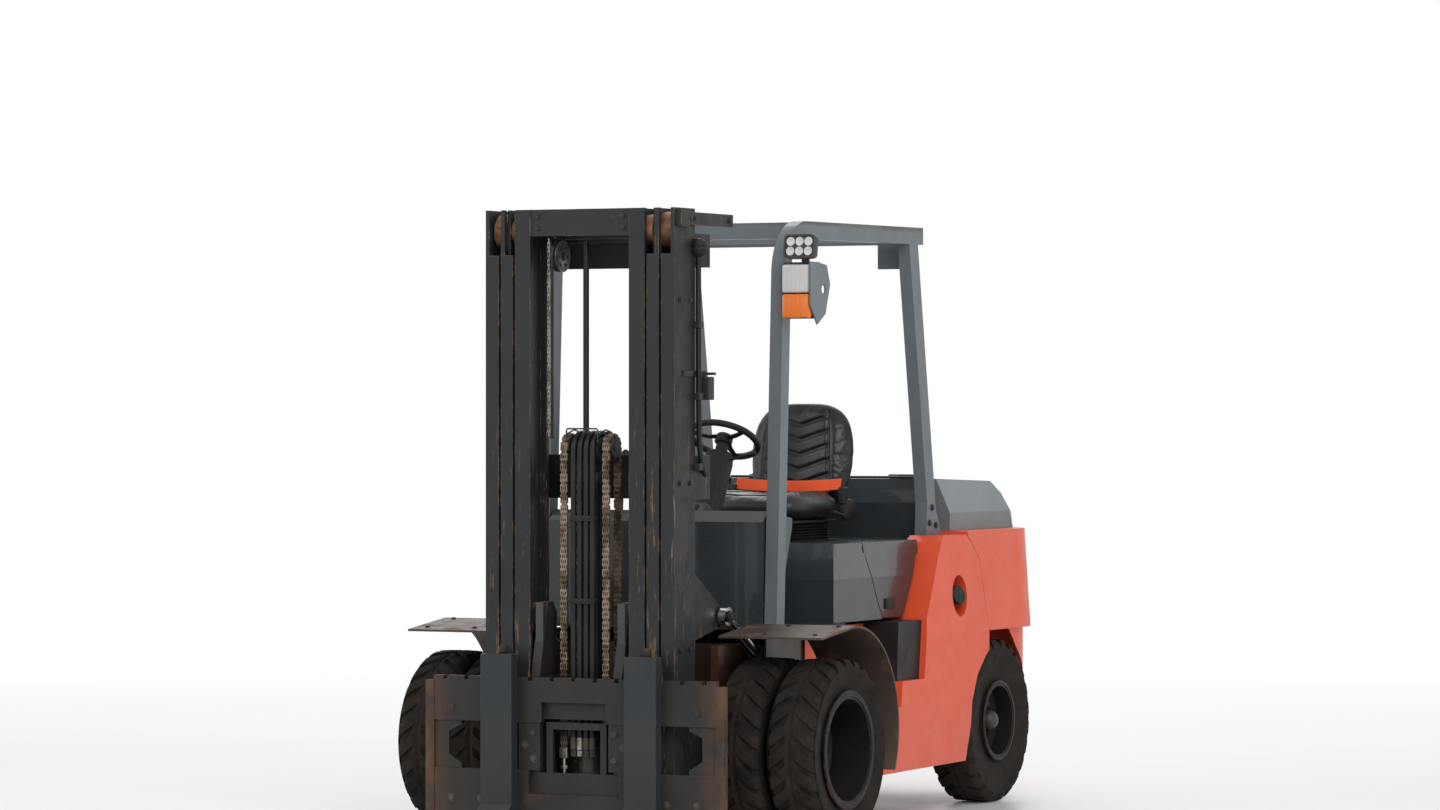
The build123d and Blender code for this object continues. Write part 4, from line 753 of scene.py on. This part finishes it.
# Driver's controls
def make_controls():
    axis = Vector((0, 0.5, cos(radians(30))))
    across = Vector((1, 0, 0))
    down = axis.cross(across)
    hub = at(0, 700, 1450)
    grip = [(13 * sin(2 * pi * k / 14), 132 + 13 * cos(2 * pi * k / 14)) for k in range(14)]
    parts = [turned(grip, hub, axis, 72),
             turned([(-19, 0.1), (-19, 30), (-14, 34), (10, 34), (18, 28), (22, 14), (23, 0.1)], hub, axis,
            40)]
    for angle in (90, 210, 330):
        out = across * cos(radians(angle)) + down * sin(radians(angle))
        side = axis.cross(out)
        rings = [rounded_ring(hub + out * reach / 1000 + axis * lift / 1000, side, axis, wide, 5, 0.7, 20)
                 for reach, lift, wide in ((26, 6, 16), (60, -4, 12), (100, -5, 10), (127, 0, 12))]
        parts.append(loft_part(rings))
    knob = hub + (across * cos(radians(200)) + down * sin(radians(200))) * 0.132
    parts.append(turned([(10, 0.1), (10, 8), (24, 7), (28, 15), (38, 19), (48, 18), (55, 11), (57, 0.1)],
            knob, axis,
            24))
    wheel = molded("steering_wheel_rim", parts, "steering_wheel")
    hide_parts("steering_wheel")
    back = -axis
    side = back.cross(across)
    rings = [rounded_ring(hub + back * reach / 1000, across, side, wide, deep, 0.55)
             for reach, wide, deep in ((58, 34, 30), (66, 48, 38), (100, 54, 41), (250, 55, 42),
            (380, 50, 38),
            (420, 36, 32), (440, 30, 28))]
    parts = [loft_part(rings), turned([(21, 0.1), (21, 24), (760, 24), (760, 0.1)], hub, back, 28)]
    for sign in (1, -1):
        start = hub + back * 0.092 + across * sign * 0.05
        end = start + across * sign * 0.085 + axis * 0.03
        parts.append(tube_part([start, (start + end) / 2 + axis * 0.004, end], 0.0045, 12))
        parts.append(turned([(-14, 0.1), (-14, 7), (-8, 9), (8, 9), (14, 6), (14, 0.1)], end, end - start,
                16))
    column = molded("column_shroud", parts, "chassis")
    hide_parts("steering_column")
    parts = []
    for x in (-150, -192, -234):
        parts.append(pipe([(x, 300, 1158), (x, 306, 1240), (x, 322, 1330), (x, 330, 1372)], 6))
        parts.append(turned([(-8, 0.1), (-8, 8), (4, 15), (20, 18), (34, 14), (42, 6), (43, 0.1)],
                at(x, 331, 1372), (0, 0.15, 1), 20))
        parts.append(turned([(0, 0.1), (0, 22), (6, 20), (12, 14), (18, 12), (24, 7), (24, 0.1)],
                at(x, 301, 1158), (0, 0.05, 1), 20))
    parts.append(slab((-262, -122), (255, 345), (1148, 1164), 5))
    molded("control_levers", parts, "chassis")
    lean = Vector((0, -0.5, 0.87))
    rings = [rounded_ring(at(20, 300, 1165) + lean * lift / 1000, across, lean.cross(across), wide, deep,
            0.35)
             for lift, wide, deep in ((-10, 110, 60), (20, 108, 58), (32, 100, 50))]
    molded("instrument_pod", [loft_part(rings)], "chassis")
    rings = [rounded_ring(at(20, 300, 1165) + lean * lift / 1000, across, lean.cross(across), wide, deep,
            0.3)
             for lift, wide, deep in ((31, 78, 34), (33.5, 76, 32))]
    fitted("instrument_display", [loft_part(rings)], extra["glass"], "chassis")
    parts = [slab((x - 4, x + 4), (150, 560), (762, 766), 1.5) for x in range(-400, 401, 32)]
    parts += [slab((-190, -120), (330, 450), (768, 782), 5), slab((120, 190), (330, 450), (768, 782), 5),
              slab((-60, -10), (320, 420), (768, 780), 4)]
    molded("floor_mat_ribs", parts, "chassis")


# Lamps
def make_lamps():
    housings, clear, amber, work, reflectors = [], [], [], [], []
    for side in (1, -1):
        wide = (side * 517, side * 633)
        housings.append(slab(wide, (150, 185), (1899, 2101), 10))
        clear.append(slab((side * 519, side * 631), (125, 156), (1994, 2098), 11))
        amber.append(slab((side * 519, side * 631), (125, 156), (1901, 1990), 11))
        housings.append(slab((side * 516, side * 634), (148, 160), (1989, 1995), 2))
        lean = Vector((0, -0.99, 0.13))
        up = Vector((0, 0.13, 0.99))
        centre_point = at(side * 586, 155, 2163)
        rings = [rounded_ring(centre_point + lean * reach / 1000, (1, 0, 0), up, half_x, half_z, 0.3)
                 for reach, half_x, half_z in ((-24, 50, 34), (-12, 62, 44), (14, 64, 46), (20, 63, 45),
                (20, 57, 39),
                (14, 56, 38))]
        work.append(loft_part(rings))
        for column in (-1, 0, 1):
            for row in (-0.5, 0.5):
                place = centre_point + Vector((1, 0, 0)) * column * 0.036 + up * row * 0.036 + lean * 0.0145
                reflectors.append(turned([(0, 0.1), (0, 15), (4, 16.5), (4, 13), (1.5, 5), (1.5, 0.1)],
                        place, lean,
                        20))
    piece = molded("signal_lamp_housings", housings, "chassis")
    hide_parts("front_lamps")
    fitted("signal_lenses_clear", clear, extra["clear"], "chassis")
    fitted("signal_lenses_amber", amber, extra["amber"], "chassis")
    fitted("work_lamp_housings", work, materials["seat_metal"], "chassis")
    fitted("work_lamp_reflectors", reflectors, extra["clear"], "chassis")
    molded("rear_lamp_housing", [slab((345, 455), (1392.5, 1408), (2122, 2200), 4)], "chassis")
    fitted("rear_lamp_red", [slab((349, 412), (1404, 1424), (2126, 2196), 6)], extra["red"], "chassis")
    fitted("rear_lamp_amber", [slab((414, 451), (1404, 1424), (2126, 2196), 6)], extra["amber"], "chassis")


# Mast
def link_plate(start, end, offset, thick=3.4):
    """One chain plate with round ends and a waist, between two pins."""
    along = (end - start).normalized()
    across = Vector((1, 0, 0))
    rise = across.cross(along)
    outline = []
    for angle in (-75, -38, 0, 38, 75):
        outline.append(end + (along * cos(radians(angle)) + rise * sin(radians(angle))) * 0.0068)
    outline.append((start + end) / 2 + rise * 0.0048)
    for angle in (105, 142, 180, 218, 255):
        outline.append(start + (along * cos(radians(angle)) + rise * sin(radians(angle))) * 0.0068)
    outline.append((start + end) / 2 - rise * 0.0048)
    low = [point + across * (offset - thick / 2) / 1000 for point in outline]
    high = [point + across * (offset + thick / 2) / 1000 for point in outline]
    return loft_part([low, high])


def chain_pins(x, y_front, y_back, z_top, z_front, z_back, pitch=19.05):
    """Pin places along a chain that goes up, over a sheave and down."""
    radius = (y_back - y_front) / 2
    length = (z_top - z_front) + pi * radius + (z_top - z_back)
    pins = []
    for step in range(int(length / pitch) + 1):
        along = step * pitch
        if along < z_top - z_front:
            pins.append(at(x, y_front, z_front + along))
        elif along < z_top - z_front + pi * radius:
            turn = (along - (z_top - z_front)) / radius
            pins.append(at(x, y_front + radius - radius * cos(turn), z_top + radius * sin(turn)))
        else:
            pins.append(at(x, y_back, z_top - (along - (z_top - z_front) - pi * radius)))
    return pins


def make_chains():
    parts = []
    for side in (1, -1):
        pins = chain_pins(side * CHAIN_X, CHAIN_FRONT_Y, CHAIN_BACK_Y, CHAIN_SHEAVE_Z, 336, 206)
        for number, pin in enumerate(pins):
            parts.append(turned([(-15, 0.1), (-15, 3.6), (15, 3.6), (15, 0.1)], pin, (1, 0, 0), 8))
            if number + 1 < len(pins):
                for offset in (-12, -4, 4, 12) if number % 2 else (-8, 0, 8):
                    parts.append(link_plate(pin, pins[number + 1], offset))
    chains = fitted("lift_chain_links", parts, materials["chain_steel"], "crosshead")
    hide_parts("lift_chains")
    parts = []
    for side in (1, -1):
        parts.append(slab((side * 70, side * 102), (-446, -428), (300, 338), 3))
        parts.append(turned([(0, 0.1), (0, 8), (60, 8), (60, 0.1)], at(side * CHAIN_X, CHAIN_FRONT_Y, 240),
                (0, 0, 1), 16))
        parts.append(turned([(0, 0.1), (0, 14), (12, 14), (12, 0.1)],
                at(side * CHAIN_X, CHAIN_FRONT_Y, 262), (0, 0, 1), 6))
    fitted("chain_anchors", parts, extra["zinc"], "crosshead")


def make_hoses():
    low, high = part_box("lift_hoses")
    parts = []
    ends = []
    front = (low.y - front_axle.y) * 1000 + 11
    reach = FREE_CYLINDER_Y - front
    top = high.z * 1000 - 11 - reach
    for index in range(4):
        x = (index - 1.5) * 26
        points = [(x, front, 334), (x, front, 600), (x, front, 1000), (x, front, top - 30)]
        for step in range(15):
            turn = radians(180 - step * 125 / 14)
            points.append((x, FREE_CYLINDER_Y + reach * cos(turn), top + reach * sin(turn)))
        parts.append(pipe(points, 11, 16))
        end = at(x, front, 332)
        ends.append(turned([(0, 0.1), (0, 10), (2, 13), (42, 13), (46, 11.3), (46, 0.1)], end, (0, 0, 1),
                20))
        ends.append(turned([(-22, 0.1), (-22, 11), (-2, 11), (0, 9), (0, 0.1)], end, (0, 0, 1), 6))
    for z in (560, 860, 1160):
        parts.append(slab((-53, 53), (front - 13, front + 13), (z, z + 22), 4))
    hoses = fitted("mast_hoses", parts, extra["hose"], "crosshead")
    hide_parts("lift_hoses")
    forged("hose_ferrules", ends[:2] + ends[4:], "crosshead")
    fitted("hose_ferrules_bright", ends[2:4], extra["zinc"], "crosshead")
    rail = high.z * 1000 + 6
    guard = [pipe([(-64, -462, rail - 50), (-64, -462, rail - 6), (-60, -462, rail), (60, -462, rail),
            (64, -462, rail - 6), (64, -462, rail - 50)], 3),
             *[pipe([(x, -462, rail - 20), (x, -400, rail - 4), (x, -352, rail - 14)], 3) for x in (-64,
            64)],
             pipe([(-64, -352, rail - 14), (0, -352, rail - 12), (64, -352, rail - 14)], 3)]
    forged("hose_guard_frame", guard, "crosshead")
    sheave = at(*HOSE_SHEAVE)
    profile = [(0, 16), (0, 58), (1.2, 58), (1.2, 50), (0.4, 46), (0.4, 26), (1.6, 24), (1.6, 16)]
    faces = [turned(profile, sheave + Vector((side * 0.0101, 0, 0)), (side, 0, 0), 40) for side in (1, -1)]
    fitted("hose_sheave_faces", faces, extra["zinc"], "mast_inner")
    holes = []
    for side in (1, -1):
        for number in range(6):
            turn = 2 * pi * number / 6
            place = sheave + Vector((side * 0.0108, cos(turn) * 0.036, sin(turn) * 0.036))
            holes += bolt_parts(place, (side, 0, 0), 4.5, 4)
    forged("hose_sheave_bolts", holes, "mast_inner")
    x, y, z = HOSE_SHEAVE
    strand = [(x, y - SHEAVE_HOSE_REACH, low_z) for low_z in (1460, 1800, 2100)]
    for step in range(12):
        turn = radians(180 - step * 130 / 11)
        strand.append((x, y + SHEAVE_HOSE_REACH * cos(turn), z + SHEAVE_HOSE_REACH * sin(turn)))
    fitted("sheave_hose", [pipe(strand, 5.5)], extra["hose"], "mast_inner")
    parts = []
    pins = [at(-139, -452, 1470 + step * 15.9) for step in range(46)]
    for number, pin in enumerate(pins[:-1]):
        for offset in (-4, 4) if number % 2 else (-1.6, 1.6):
            parts.append(link_plate(pin, pins[number + 1], offset, 2.0))
    fitted("sheave_chain", parts, extra["zinc"], "mast_inner")
    fitted("free_lift_rod_guide", [pipe([(-20, FREE_CYLINDER_Y, z) for z in (1488, 1800, 2178)], 11)],
           extra["hose"], "crosshead")
    side_hose = [(399, SIDE_HOSE_Y, 2150), (399, SIDE_HOSE_Y, 1900), (399, -316, 1600), (399, -312, 1450),
            (398, -296, 1380),
            (394, -268, 1345), (386, -240, 1330)]
    fitted("side_hose", [pipe(side_hose, 10)], extra["hose"], "mast_outer")
    ridges = []
    for step in range(13):
        turn = radians(-80 + step * 160 / 12)
        ridges.append((34 * sin(turn), max(34 * cos(turn) + (2.5 if step % 2 else -1.0), 6)))
    molded("side_hose_reel", [turned([(ridges[0][0], 0.1)] + ridges + [(ridges[-1][0], 0.1)],
            at(400, SIDE_HOSE_Y, 2150),
            (0, 0, 1), 40)], "mast_outer")
    clips = [slab((RAIL_SIDE_X, 412), (SIDE_HOSE_Y - 16, SIDE_HOSE_Y + 16), (z, z + 26), 4) for z in (1345,
            1600,
            1858)]
    forged("side_hose_clips", clips, "mast_outer")
    parts = [slab((RAIL_SIDE_X, 391), (-420, -240), (1684, 1706), 2),
             slab((391, 425), (-285, -240), (1600, 1684), 5),
             slab((RAIL_SIDE_X, 430), (-262, -236), (1690, 1700), 2)]
    forged("side_switch_bracket", parts, "mast_outer")


def roller_faces(name, x, wide, y, z, radius, body):
    profile = [(-0.4, 24), (-0.4, radius - 14), (1.5, radius - 12), (1.5, radius - 3), (0.2, radius + 0.7),
               (wide - 0.2, radius + 0.7), (wide - 1.5, radius - 3), (wide + 0.4, radius - 12),
               (wide + 0.4, 24)]
    parts = [turned(profile, at(side * x, y, z), (side, 0, 0), 48) for side in (1, -1)]
    fitted(name, parts, extra["rust"], body)


def make_mast_details():
    roller_faces("outer_rollers", 307.5, 53.0, ROLLER_Y + 10, TOP_ROLLER_Z, 64.2, "mast_outer")
    roller_faces("middle_rollers", 243.5, 44.0, ROLLER_Y, TOP_ROLLER_Z, 54.2, "mast_middle")
    roller_faces("carriage_rollers", 203.5, 19.0, ROLLER_Y, 265, 54.2, "carriage")
    roller_faces("carriage_top_rollers", 203.5, 19.0, ROLLER_Y, 808, 54.2, "carriage")
    ties = [(x, -197, z) for x in (355, 372) for z in (160, 240, 1270, 1370, 2105, 2175)]
    bolts("mast_tie_bolts", both(ties), (0, 1, 0), "mast_outer", 8)
    for side, word in ((1, "left"), (-1, "right")):
        bolts(f"mast_side_bolts_{word}", [(side * 385.4, y, z) for y in (-440, -360) for z in (700, 1300,
                1960)],
              (side, 0, 0), "mast_outer", 9)
    side_bolts("tilt_pin_caps", [(412, -78, 808)], "mast_outer", 15, 7)
    side_bolts("pivot_caps", [(391.5, -150, 300)], "chassis", 18, 9)
    bolts("stay_bolts", [(401.5, y, 2254) for y in (-390, -350, -70)], (1, 0, 0), "mast_outer", 8)
    bolts("crossbar_bolts", [(x, -480, z) for x in (-175, 175) for z in (2222, 2264)], (0, -1, 0),
          "mast_inner", 9)
    bolts("frame_bolts", both([(165, -524, 300), (165, -524, 395), (200, -524, 350), (500, -531, 150),
            (500, -531, 480), (380, -531, 150)]), (0, -1, 0), "fork_frame", 11, 8)
    pins = []
    knob = [(0, 0.1), (0, 13), (5, 15), (26, 15), (30, 11), (30, 0.1)]
    for side in (1, -1):
        pins.append(turned(knob, at(side * 293, -518, 679), (0, 0, 1), 24))
        pins.append(slab((side * 262, side * 324), (-529, -508), (612, 676), 3))
    fitted("fork_locks", pins, extra["bolt"], "fork_frame")
    uprights = [slab((side * 152, side * 182), (-478, -470), (610, 866), 2) for side in (1, -1)]
    fitted("carriage_uprights", uprights, materials["seat_metal"], "carriage")
    gland = [(-30, 27.6), (-30, 44.5), (0, 44.5), (6, 41), (6, 27.6)]
    glands = [turned(gland, at(side * 290, LIFT_CYLINDER_Y, 1960), (0, 0, 1), 40) for side in (1, -1)]
    fitted("lift_cylinder_glands", glands, extra["bolt"], "mast_outer")
    fitted("free_cylinder_gland", [turned([(-34, 34.6), (-34, 46.5), (0, 46.5), (5, 43), (5, 34.6)],
            at(0, FREE_CYLINDER_Y, 1335), (0, 0, 1), 40)], extra["bolt"],
            "mast_inner")


# Wheels and body details
def nut_ring(place, axis, reach, count, size, tall, turn=0.0):
    parts = []
    axis = Vector(axis)
    side = axis.orthogonal().normalized()
    other = axis.cross(side)
    for number in range(count):
        angle = 2 * pi * number / count + turn
        spot = place + (side * cos(angle) + other * sin(angle)) * reach / 1000
        parts += bolt_parts(spot, axis, size, tall)
    return parts


def make_wheel_details():
    for side, name in ((1, "left"), (-1, "right")):
        axis = (side, 0, 0)
        parts = nut_ring(at(side * 663, 0, FRONT_HUB_Z), axis, 118, 8, 13, 20)
        parts += nut_ring(at(side * 740, 0, FRONT_HUB_Z), axis, 30, 6, 6, 6)
        forged(f"front_wheel_nuts_{name}", parts, f"front_wheel_{name}")
        ring = [turned([(0, 193), (0, 214), (2.5, 216), (5, 213), (5, 196), (2, 193)],
                at(side * 849.5, 0, FRONT_HUB_Z), axis,
                64),
                turned([(0, 186), (0, 192), (-16, 192.5), (-16, 186)], at(side * 846, 0, FRONT_HUB_Z), axis,
                64)]
        fitted(f"front_lock_ring_{name}", ring, materials["rim"], f"front_wheel_{name}")
        place = Vector((0, rear_axle.y, rear_axle.z))
        out = Vector((side, 0, 0))
        parts = nut_ring(place + out * 0.5152, axis, 84, 6, 11, 14)
        parts.append(turned([(0, 0.1), (0, 40), (14, 38), (30, 30), (38, 18), (40, 0.1)],
                place + out * 0.552, axis,
                36))
        forged(f"rear_wheel_nuts_{name}", parts, f"rear_wheel_{name}")
        ring = [turned([(0, 146), (0, 158), (2, 160), (4, 157), (4, 148), (2, 146)], place + out * 0.5985,
                axis, 56)]
        fitted(f"rear_lock_ring_{name}", ring, materials["rim"], f"rear_wheel_{name}")


def make_body_details():
    tread = []
    for side in (1, -1):
        for row in range(15):
            for column in range(5):
                lean = 6 if (row + column) % 2 else -6
                x = side * (468 + column * 32)
                y = 495 + row * 32
                tread.append(pipe([(x - lean, y - 9, 430.4), (x, y, 431.6), (x + lean, y + 9, 430.4)], 2.6,
                        8))
    fitted("step_treads", tread, materials["axle_black"], "chassis")
    neck = at(545, 1562, 822)
    out = (0.9, -0.2, 0.25)
    parts = [turned([(0, 0.1), (0, 30), (4, 34), (44, 34), (48, 30), (54, 28), (54, 0.1)], neck, out, 32),
             turned([(54, 0.1), (54, 37), (58, 39), (68, 39), (72, 34), (72, 0.1)], neck, out, 24)]
    molded("filler_neck", parts, "chassis")
    side_bolts("guard_side_bolts", [(503, 1500, 1120), (503, 1560, 1110), (503, 1525, 1180)], "chassis", 10,
               8)
    bolts("fender_bolts", both([(x, y, z) for x in (600, 800) for y, z in ((-180, 752), (20, 775.5))]),
          (0, 0, 1),
          "chassis", 8, 6)
    bolts("lamp_plate_bolts", both([(560, 178.6, 2126)]), (0, -1, 0), "chassis", 6, 5)
    latch = [slab((side * 519.5, side * 527), (1040, 1120), (800, 840), 3) for side in (1, -1)]
    molded("hood_latches", latch, "hood")
    # Painted shade: a dark band, 8 mm thick and 49 mm tall, along the top edge of the hood and cowl sides.
    for body, y_low, y_high in (("chassis", 625, 866), ("hood", 878, 1383)):
        trims_and_shadow_bands = []
        for side in (1, -1):
            rings = [rounded_ring(at(side * (520 - 20 * (z - 925) / 133 - 3.2), (y_low + y_high) / 2, z),
                    (0, 1, 0), (1, 0, 0), (y_high - y_low) / 2, 4.2, 0.15, 32)
                     for z in (1004, 1008, 1030, 1053)]
            trims_and_shadow_bands.append(loft_part(rings))
        fitted(f"hood_edge_shadow_{body}", trims_and_shadow_bands, materials["hood_dark"], body)
    rim_points = [(-430, 1588, 1250), (-430, 1640, 1296), (430, 1640, 1296), (430, 1588, 1250)]
    fitted("hood_rear_rim", [pipe(rim_points, 5)], materials["hood_dark"], "hood")
    pin = turned([(0, 0.1), (0, 14), (6, 18.5), (250, 18.5), (256, 26), (266, 26), (270, 20), (270, 0.1)],
            at(0, 2440, 404), (0, 0, 1), 28)
    handle = pipe([(-22, 2440, 668), (-22, 2440, 692), (0, 2440, 708), (22, 2440, 692), (22, 2440, 668)], 5)
    fitted("tow_pin", [pin, handle], extra["zinc"], "chassis")
    fins = [slab((-208, 208), (2274, 2299.8), (z, z + 5), 1) for z in range(826, 1030, 14)]
    fins += [slab((x, x + 3), (2276, 2296), (822, 1034), 0.8) for x in range(-200, 201, 20)]
    molded("radiator_grille", fins, "chassis")


# Stage
def make_stage():
    mesh = bpy.data.meshes.new("floor")
    size = 60
    mesh.from_pydata([(-size, -size, 0), (size, -size, 0), (size, size, 0), (-size, size, 0)], [],
            [(0, 1, 2, 3)])
    floor = linked("floor", mesh)
    graph = Graph("floor")
    graph.shader.inputs["Base Color"].default_value = (0.86, 0.855, 0.845, 1)
    graph.link(graph.ramp(graph.noise(3.0, 4), 0.2, 0.8, 0.28, 0.42), graph.shader.inputs["Roughness"])
    mesh.materials.append(graph.material)
    far = graph.add("ShaderNodeVectorMath", operation="LENGTH")
    graph.link(graph.coordinates, far.inputs[0])
    white = graph.add("ShaderNodeEmission")
    white.inputs["Color"].default_value = (1, 1, 1, 1)
    white.inputs["Strength"].default_value = 1.0
    path = graph.add("ShaderNodeLightPath")
    amount = graph.maths("MULTIPLY", graph.ramp(far.outputs["Value"], 4.5, 11.0),
            path.outputs["Is Camera Ray"])
    blend = graph.add("ShaderNodeMixShader")
    graph.link(amount, blend.inputs["Fac"])
    graph.link(graph.shader.outputs["BSDF"], blend.inputs[1])
    graph.link(white.outputs["Emission"], blend.inputs[2])
    graph.link(blend.outputs["Shader"], graph.tree.nodes["Material Output"].inputs["Surface"])
    world = bpy.data.worlds.new("studio")
    bpy.context.scene.world = world
    world.use_nodes = True
    tree = world.node_tree
    background = tree.nodes["Background"]
    background.inputs["Color"].default_value = (0.93, 0.96, 1.0, 1)
    background.inputs["Strength"].default_value = 0.62
    plain = tree.nodes.new("ShaderNodeBackground")
    plain.inputs["Color"].default_value = (1.0, 1.0, 1.0, 1)
    plain.inputs["Strength"].default_value = 1.0
    path = tree.nodes.new("ShaderNodeLightPath")
    mix = tree.nodes.new("ShaderNodeMixShader")
    seen = tree.nodes.new("ShaderNodeMath")
    seen.operation = "MAXIMUM"
    tree.links.new(path.outputs["Is Camera Ray"], seen.inputs[0])
    tree.links.new(path.outputs["Is Glossy Ray"], seen.inputs[1])
    tree.links.new(seen.outputs["Value"], mix.inputs["Fac"])
    tree.links.new(background.outputs["Background"], mix.inputs[1])
    tree.links.new(plain.outputs["Background"], mix.inputs[2])
    tree.links.new(mix.outputs["Shader"], tree.nodes["World Output"].inputs["Surface"])
    add_light("key", (7, -8, 7), 7, 620)
    add_light("fill", (-8, -6, 5), 7, 240)
    add_light("back", (-3, 8, 7), 6, 260)


def add_light(name, place, size, power):
    data = bpy.data.lights.new(name, "AREA")
    data.size = size
    data.energy = power
    light = linked(name, data)
    light.location = place
    light.rotation_euler = (Vector((0, 0, 0.9)) - Vector(place)).to_track_quat("-Z", "Y").to_euler()


make_camera()
make_stage()
dress_nodes()
make_tyres()
make_seat()
make_controls()
make_lamps()
make_chains()
make_hoses()
make_mast_details()
make_wheel_details()
make_body_details()
